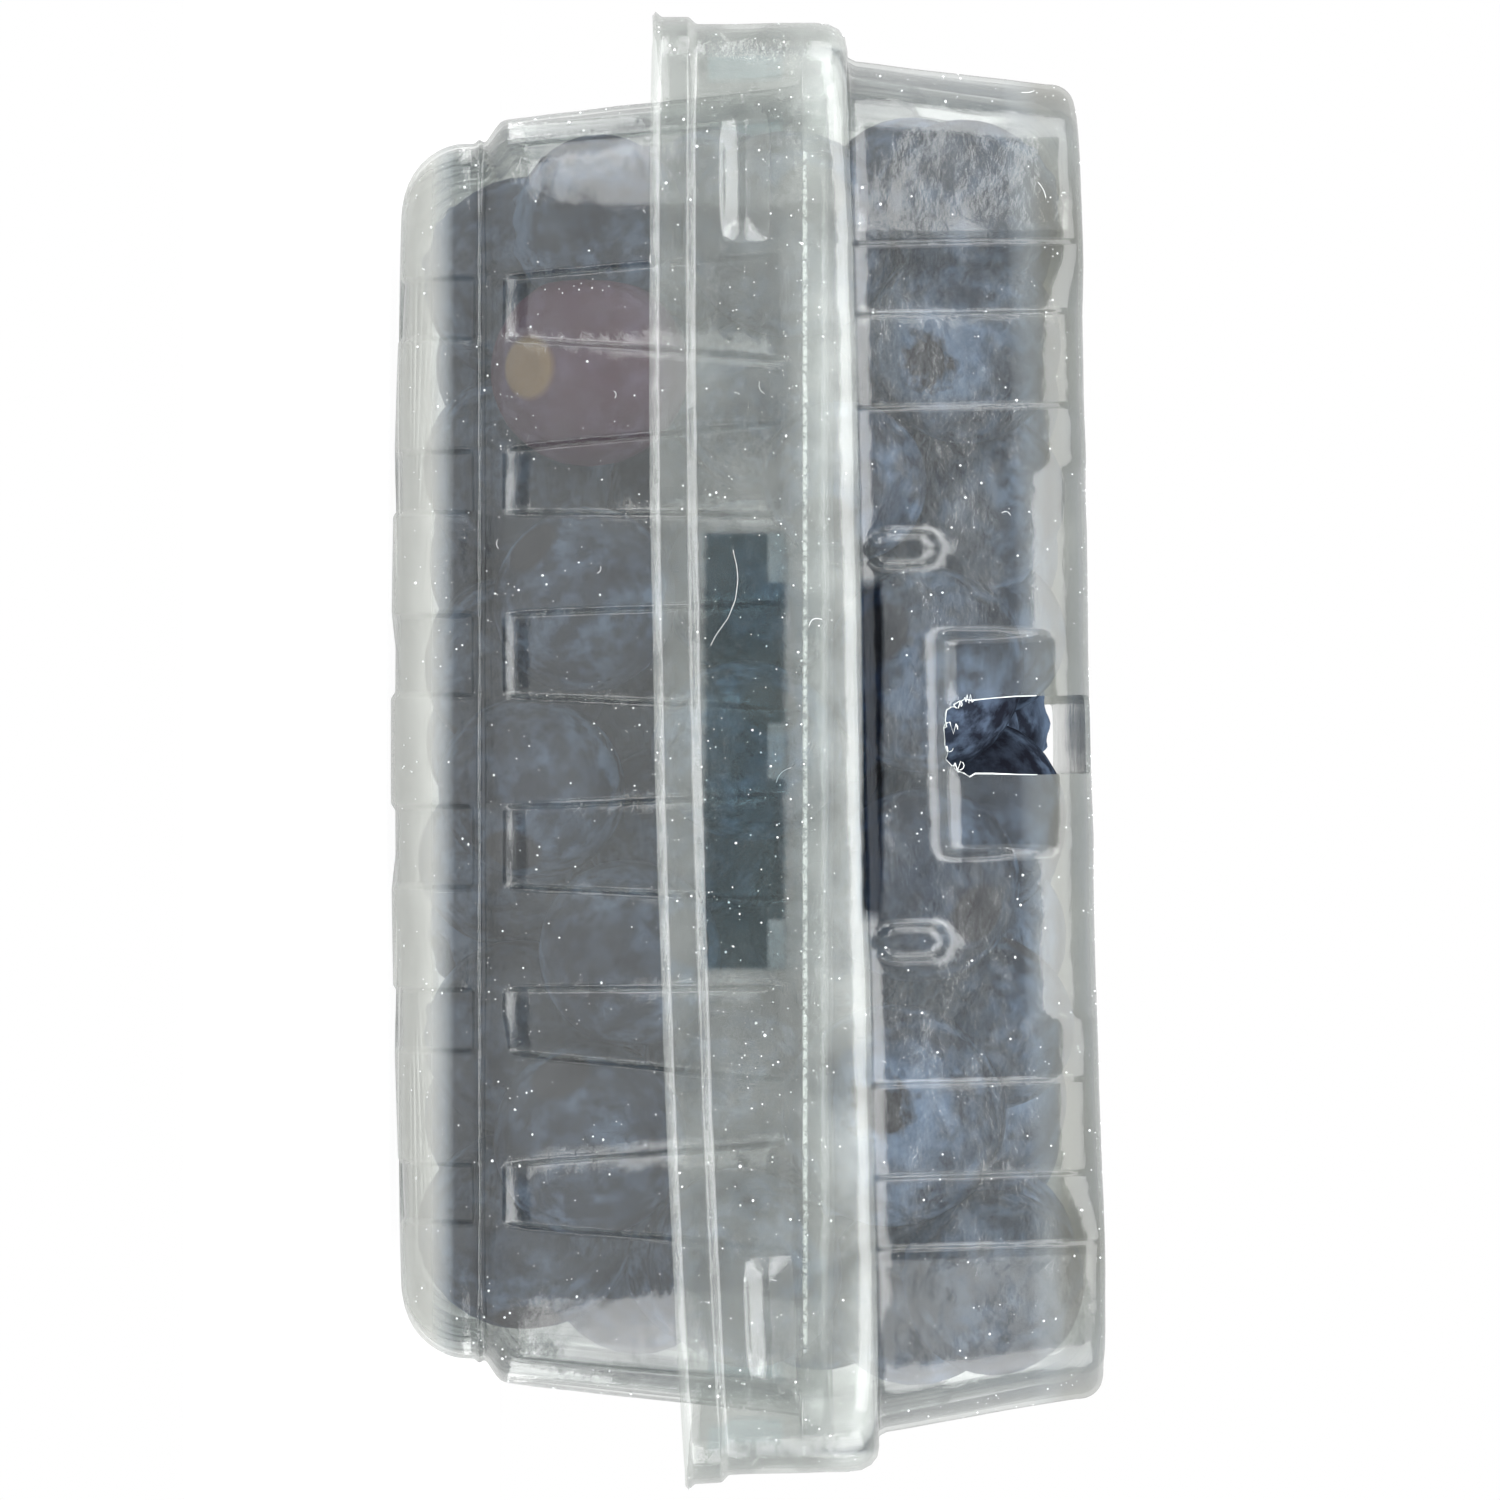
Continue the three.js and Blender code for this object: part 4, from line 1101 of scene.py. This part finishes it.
def berries_mesh(name, berries, draws):
    """Many berries in one mesh, each point marked with its turn from the crown and its berry's tone."""
    parts, from_crowns, tones = [], [], []
    for berry in berries:
        from_wall = room_at(berry.z) - max(abs(berry.x), abs(berry.y)) - berry.radius
        from_lid = LID_TOP_Z - 1 - berry.z - berry.radius
        deep = min(from_wall, from_lid, berry.z - berry.radius) > DEEP_FROM
        across = DEEP_ACROSS if deep else OUTER_ACROSS
        points, faces, from_crown = berry_shape(berry.radius, across, draws)
        crown = berry.crown or [draws.gauss(0, 1) for _ in range(3)]
        if berry.crown is None and berry.y < -20:
            crown = [crown[0], abs(crown[1]) * 0.3, crown[2]]
        turned = np.array(Vector(crown).to_track_quat("Z", "Y").to_matrix())
        parts.append((points @ turned.T + [berry.x, berry.y, berry.z], faces))
        from_crowns.append(from_crown)
        tones.append(np.full(len(points), draws.random()))
    points, faces = joined(parts)
    mesh = bpy.data.meshes.new(name)
    mesh.from_pydata((points * MM).tolist(), [], faces)
    for marked, values in (("from_crown", from_crowns), ("tone", tones)):
        attribute = mesh.attributes.new(marked, "FLOAT", "POINT")
        attribute.data.foreach_set("value", np.concatenate(values).astype(np.float32))
    smooth_shaded(mesh, 70)
    return mesh


def berry_skin(name, bare, bloom, crown_colour, scar_colour, star):
    """Dark waxy skin with a mottled pale bloom, a dry brown crown and a small stem scar."""
    peel = Finish(name)
    noise, ramped, toned = peel.noise, peel.ramped, peel.toned
    marks = {}
    for marked in ("tone", "from_crown"):
        attribute = peel.nodes.new("ShaderNodeAttribute")
        attribute.attribute_name = marked
        marks[marked] = attribute.outputs["Fac"]
    turn = marks["from_crown"]
    patches = ramped(noise(170, 3, 0.6), 0.42, 0.60)
    mottle = ramped(noise(520, 4, 0.6), 0.40, 0.62, 0.15, 1.0)
    waxy = peel.reckon("MULTIPLY", mottle, ramped(patches, 0, 1, 0.3, 1.0), clamp=True)
    waxy = peel.reckon("MULTIPLY", waxy, ramped(marks["tone"], 0, 1, 0.7, 1.0), clamp=True)
    waxy = peel.reckon("ADD", waxy, ramped(turn, CROWN_TURN, STAR_TURN, star, 0.0))
    colour = toned(waxy, bare, bloom)
    ragged = peel.reckon("ADD", turn, ramped(noise(700, 3, 0.6), 0.2, 0.8, 0, 0.3))
    colour = toned(ramped(ragged, 0.36, 0.48, 1.0, 0.0), colour, crown_colour)
    scarred = ramped(turn, math.pi - 0.36, math.pi - 0.28)
    colour = toned(scarred, colour, scar_colour)
    skin = peel.nodes["Principled BSDF"]
    peel.links.new(colour, skin.inputs["Base Color"])
    skin.inputs["Specular IOR Level"].default_value = 0
    peel.links.new(ramped(waxy, 0, 1, 0.42, 0.75), skin.inputs["Roughness"])
    peel.links.new(peel.bump(noise(1400, 3, 0.6), 0.0001, 0.25), skin.inputs["Normal"])
    return peel.material


BLUE_SKIN = berry_skin(
    "blue_berry_skin",
    bare=(0.007, 0.007, 0.011),
    bloom=(0.090, 0.122, 0.182),
    crown_colour=(0.010, 0.005, 0.004),
    scar_colour=(0.018, 0.014, 0.014),
    star=0.75,
)
RED_SKIN = berry_skin(
    "ripening_berry_skin",
    bare=(0.056, 0.022, 0.032),
    bloom=(0.108, 0.078, 0.115),
    crown_colour=(0.08, 0.035, 0.02),
    scar_colour=(0.17, 0.108, 0.05),
    star=0.1,
)
all_berries = settled_berries()
shape_draws = random.Random(BERRY_SEED)
blue = [berry for index, berry in enumerate(all_berries) if index != REDDISH]
ripening = [all_berries[REDDISH]]
for name, chosen, skin in (("blueberries", blue, BLUE_SKIN), ("ripening_berry", ripening, RED_SKIN)):
    piece = add_piece(name, berries_mesh(name, chosen, shape_draws), skin)
    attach(piece, "root")
    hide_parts("berries")

# Heart of the heap
# The berries deep inside can't be seen between the outer ones. A dark lumpy body stands for them,
# well inside the outer two layers.
HEART_HALF = 31
HEART_FOOT_Z = 15
HEART_TOP_Z = 42
HEART_STEPS = 24
heart_points = []
for row in range(1, HEART_STEPS):
    turn = math.pi * row / HEART_STEPS
    for column in range(2 * HEART_STEPS):
        angle = math.pi * column / HEART_STEPS
        level = math.sin(turn)
        direction = np.array([level * math.cos(angle), level * math.sin(angle), math.cos(turn)])
        heart_points.append(np.sign(direction) * abs(direction) ** 0.45)
heart_points = np.array(heart_points + [[0, 0, 1], [0, 0, -1]], float)
heart_height = (HEART_TOP_Z - HEART_FOOT_Z) / 2
heart_points *= [HEART_HALF, HEART_HALF, heart_height]
lumps = unevenness(heart_points, 16, 1.6, 91)
heart_points *= (1 + lumps / HEART_HALF)[:, None]
heart_points += [0, 0, HEART_FOOT_Z + heart_height]
around = 2 * HEART_STEPS
faces = []
for row in range(HEART_STEPS - 2):
    for column in range(around):
        beside = (column + 1) % around
        a, b = row * around + column, row * around + beside
        faces.append((a, a + around, b + around, b))
top, bottom = len(heart_points) - 2, len(heart_points) - 1
for column in range(around):
    beside = (column + 1) % around
    last_row = (HEART_STEPS - 2) * around
    faces.append((top, column, beside))
    faces.append((bottom, last_row + beside, last_row + column))
heart_mesh = bpy.data.meshes.new("heap_heart")
heart_mesh.from_pydata((heart_points * MM).tolist(), [], faces)
smooth_shaded(heart_mesh, 80)
for marked in ("from_crown", "tone"):
    attribute = heart_mesh.attributes.new(marked, "FLOAT", "POINT")
    attribute.data.foreach_set("value", np.full(len(heart_points), 1.0, np.float32))
heap_heart = add_piece("heap_heart", heart_mesh, BLUE_SKIN)
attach(heap_heart, "root")
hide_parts("berries")

# Dust
# Plastic this light holds a charge, so it draws specks of white dust and a few short fibres, which
# lie on its outer faces.
SPECKS = 6500
SPECK_SMALLEST = 0.042
SPECK_SPREAD = 0.085
FIBRES = 60
FIBRE_RADIUS = 0.016
HAIR_RADIUS = 0.012
# One long hair lies on the near skirt: places along it and their heights
HAIR_ALONG = [-16.2, -14.9, -13.8, -12.2, -10.7, -9.3, -8.5]
HAIR_UP = [28.1, 28.4, 28.5, 28.3, 27.7, 26.7, 26.3]
HAIR_OUT = 59.25
dust_draws = np.random.default_rng(7)


def outer_places(piece, count, outside):
    """Places spread evenly over a piece's outer faces, with the face's normal at each."""
    mesh = piece.data
    mesh.calc_loop_triangles()
    corners = np.empty(len(mesh.vertices) * 3)
    mesh.vertices.foreach_get("co", corners)
    corners = corners.reshape(-1, 3)
    triangles = np.empty(len(mesh.loop_triangles) * 3, int)
    mesh.loop_triangles.foreach_get("vertices", triangles)
    a, b, c = (corners[triangles.reshape(-1, 3)[:, corner]] for corner in range(3))
    normal = np.cross(b - a, c - a)
    size = np.linalg.norm(normal, axis=1)
    normal /= np.maximum(size, 1e-12)[:, None]
    weight = size * outside((a + b + c) / 3, normal)
    chosen = dust_draws.choice(len(size), count, p=weight / weight.sum())
    u, v = dust_draws.random((2, count, 1))
    flip = u + v > 1
    u, v = np.where(flip, 1 - u, u), np.where(flip, 1 - v, v)
    return a[chosen] + u * (b[chosen] - a[chosen]) + v * (c[chosen] - a[chosen]), normal[chosen]


def faces_outwards(middle, normal):
    """1 on faces that look away from the punnet's upright middle line, or up from its lid."""
    away = middle * [1, 1, 0]
    away /= np.maximum(np.linalg.norm(away, axis=1, keepdims=True), 1e-9)
    sideways = (away * normal).sum(axis=1)
    upwards = normal[:, 2] * (middle[:, 2] > 0.05)
    return (sideways > 0.45) | (upwards > 0.6)


dust = []
for piece, share in ((tray, 0.45), (lid, 0.55)):
    places, normals = outer_places(piece, int(SPECKS * share), faces_outwards)
    for place, normal in zip(places / MM, normals):
        size = SPECK_SMALLEST + SPECK_SPREAD * dust_draws.random() ** 4
        centre = place + normal * size * 0.4
        tips = np.concatenate([np.eye(3), -np.eye(3)]) * size * dust_draws.uniform(0.6, 1.3, (6, 1))
        faces = [(0, 1, 2), (1, 3, 2), (3, 4, 2), (4, 0, 2), (1, 0, 5), (3, 1, 5), (4, 3, 5), (0, 4, 5)]
        dust.append((centre + tips, faces))
    places, normals = outer_places(piece, int(FIBRES * share), faces_outwards)
    for place, normal in zip(places / MM, normals):
        one = np.cross(normal, dust_draws.normal(size=3))
        one /= np.linalg.norm(one)
        two = np.cross(normal, one)
        length = 0.4 + 1.6 * dust_draws.random() ** 3
        bend = dust_draws.uniform(-2.5, 2.5)
        steps = np.linspace(-0.5, 0.5, 7)[:, None]
        path = place + normal * 0.07 + one * steps * length + two * (steps ** 2) * bend * length * 0.5
        dust.append(tube_along(path, np.full(7, FIBRE_RADIUS), 4))
hair = np.array([(x, -HAIR_OUT, z) for x, z in zip(HAIR_ALONG, HAIR_UP)])
dust.append(tube_along(hair, np.full(len(hair), HAIR_RADIUS), 4))
points, faces = joined(dust)
dust_mesh = bpy.data.meshes.new("dust")
dust_mesh.from_pydata((points * MM).tolist(), [], faces)
DUST = bpy.data.materials.new("white_dust")
DUST.use_nodes = True
lint = DUST.node_tree.nodes["Principled BSDF"]
lint.inputs["Base Color"].default_value = (0.85, 0.87, 0.88, 1)
lint.inputs["Roughness"].default_value = 0.9
dust_piece = add_piece("dust", dust_mesh, DUST)
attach(dust_piece, "root")

# Floor and light
# The punnet stands on a small white floor in a white room. Softboxes hang over it and at its sides,
# light boards lie on the floor beside it, and a dark card in front is mirrored in its flat walls.
FLOOR_HALF = 0.35
FLOOR_Z = -0.0005
CARD_AWAY = 1.25
ROOM_LIGHT = 1.0


def card(name, corners, colour):
    """A flat four-cornered card with a matt coat, for the stage alone."""
    mesh = bpy.data.meshes.new(name)
    mesh.from_pydata(corners, [], [(0, 1, 2, 3)])
    finish = bpy.data.materials.new(name)
    finish.use_nodes = True
    coat = finish.node_tree.nodes["Principled BSDF"]
    coat.inputs["Base Color"].default_value = (*colour, 1)
    piece = add_piece(name, mesh, finish)
    return piece, coat


around_floor = ((-1, -1), (1, -1), (1, 1), (-1, 1))
floor_corners = [(x * FLOOR_HALF, y * FLOOR_HALF, 0) for x, y in around_floor]
floor, coat = card("floor", floor_corners, (0.15, 0.15, 0.15))
floor.location.z = FLOOR_Z
coat.inputs["Roughness"].default_value = 1
coat.inputs["Specular IOR Level"].default_value = 0
coat.inputs["Emission Color"].default_value = (1, 1, 1, 1)
coat.inputs["Emission Strength"].default_value = 0.95
card_corners = [(-0.5, 0, -0.3), (0.5, 0, -0.3), (0.5, 0, 0.5), (-0.5, 0, 0.5)]
dark_card, _ = card("dark_card", card_corners, (0.12, 0.12, 0.12))
dark_card.location.y = -CARD_AWAY
dark_card.visible_camera = False

room = bpy.data.worlds.new("white_room")
bpy.context.scene.world = room
room.use_nodes = True
room.node_tree.nodes["Background"].inputs["Color"].default_value = (1, 1, 1, 1)
room.node_tree.nodes["Background"].inputs["Strength"].default_value = ROOM_LIGHT


def softbox(name, place, aim, wide, high, watts):
    light = bpy.data.lights.new(name, "AREA")
    light.shape = "RECTANGLE"
    light.size = wide
    light.size_y = high
    light.energy = watts
    holder = bpy.data.objects.new(name, light)
    bpy.context.scene.collection.objects.link(holder)
    holder.location = place
    heading = Vector(aim) - Vector(place)
    holder.rotation_euler = heading.to_track_quat("-Z", "Y").to_euler()
    holder.visible_camera = False


def floor_board(name, x, y, wide, high, watts):
    """A light board that lies on the floor and shines straight up."""
    softbox(name, (x, y, 0.001), (x, y, 1), wide, high, watts)


softbox("over_softbox", (0, -0.50, 0.66), (0, -0.03, 0.04), 1.1, 0.75, 12)
for side, watts in ((-1, 5), (1, 2)):
    softbox(f"side_softbox_{side + 2}", (side * 0.63, -0.50, 0.50), (0, 0, 0.03), 0.72, 0.5, watts)
    softbox(f"side_panel_{side + 2}", (side * 0.80, -0.06, 0.28), (0, -0.06, 0.04), 0.45, 0.5, 3)
    floor_board(f"low_board_{side + 2}", side * 0.17, -0.18, 0.2, 0.2, 0.5)
    floor_board(f"side_board_{side + 2}", side * 0.22, -0.04, 0.26, 0.16, 0.4)

# Camera
# It looks level at the near side, turned a quarter so that the top of the punnet lies to the right.
NEAR_FACE = -0.060
CAMERA_AWAY = 0.850
CAMERA_HEIGHT = 0.02947
CAMERA_ALONG = -0.00008
SEEN_WIDTH = 0.12075
camera_data = bpy.data.cameras.new("camera")
camera_data.sensor_width = 36
camera_data.lens = 36 * CAMERA_AWAY / SEEN_WIDTH
camera = bpy.data.objects.new("camera", camera_data)
bpy.context.scene.collection.objects.link(camera)
quarter_turn = Matrix(((0, -1, 0), (0, 0, -1), (1, 0, 0))).to_4x4()
camera_place = Matrix.Translation((CAMERA_ALONG, NEAR_FACE - CAMERA_AWAY, CAMERA_HEIGHT))
camera.matrix_world = camera_place @ quarter_turn
camera_data.clip_end = 20
bpy.context.scene.camera = camera
bpy.context.scene.view_settings.view_transform = "Standard"
bpy.context.scene.cycles.adaptive_threshold = 0.05
bpy.context.scene.cycles.transparent_max_bounces = 32
bpy.context.scene.cycles.diffuse_bounces = 2
bpy.context.scene.cycles.glossy_bounces = 2
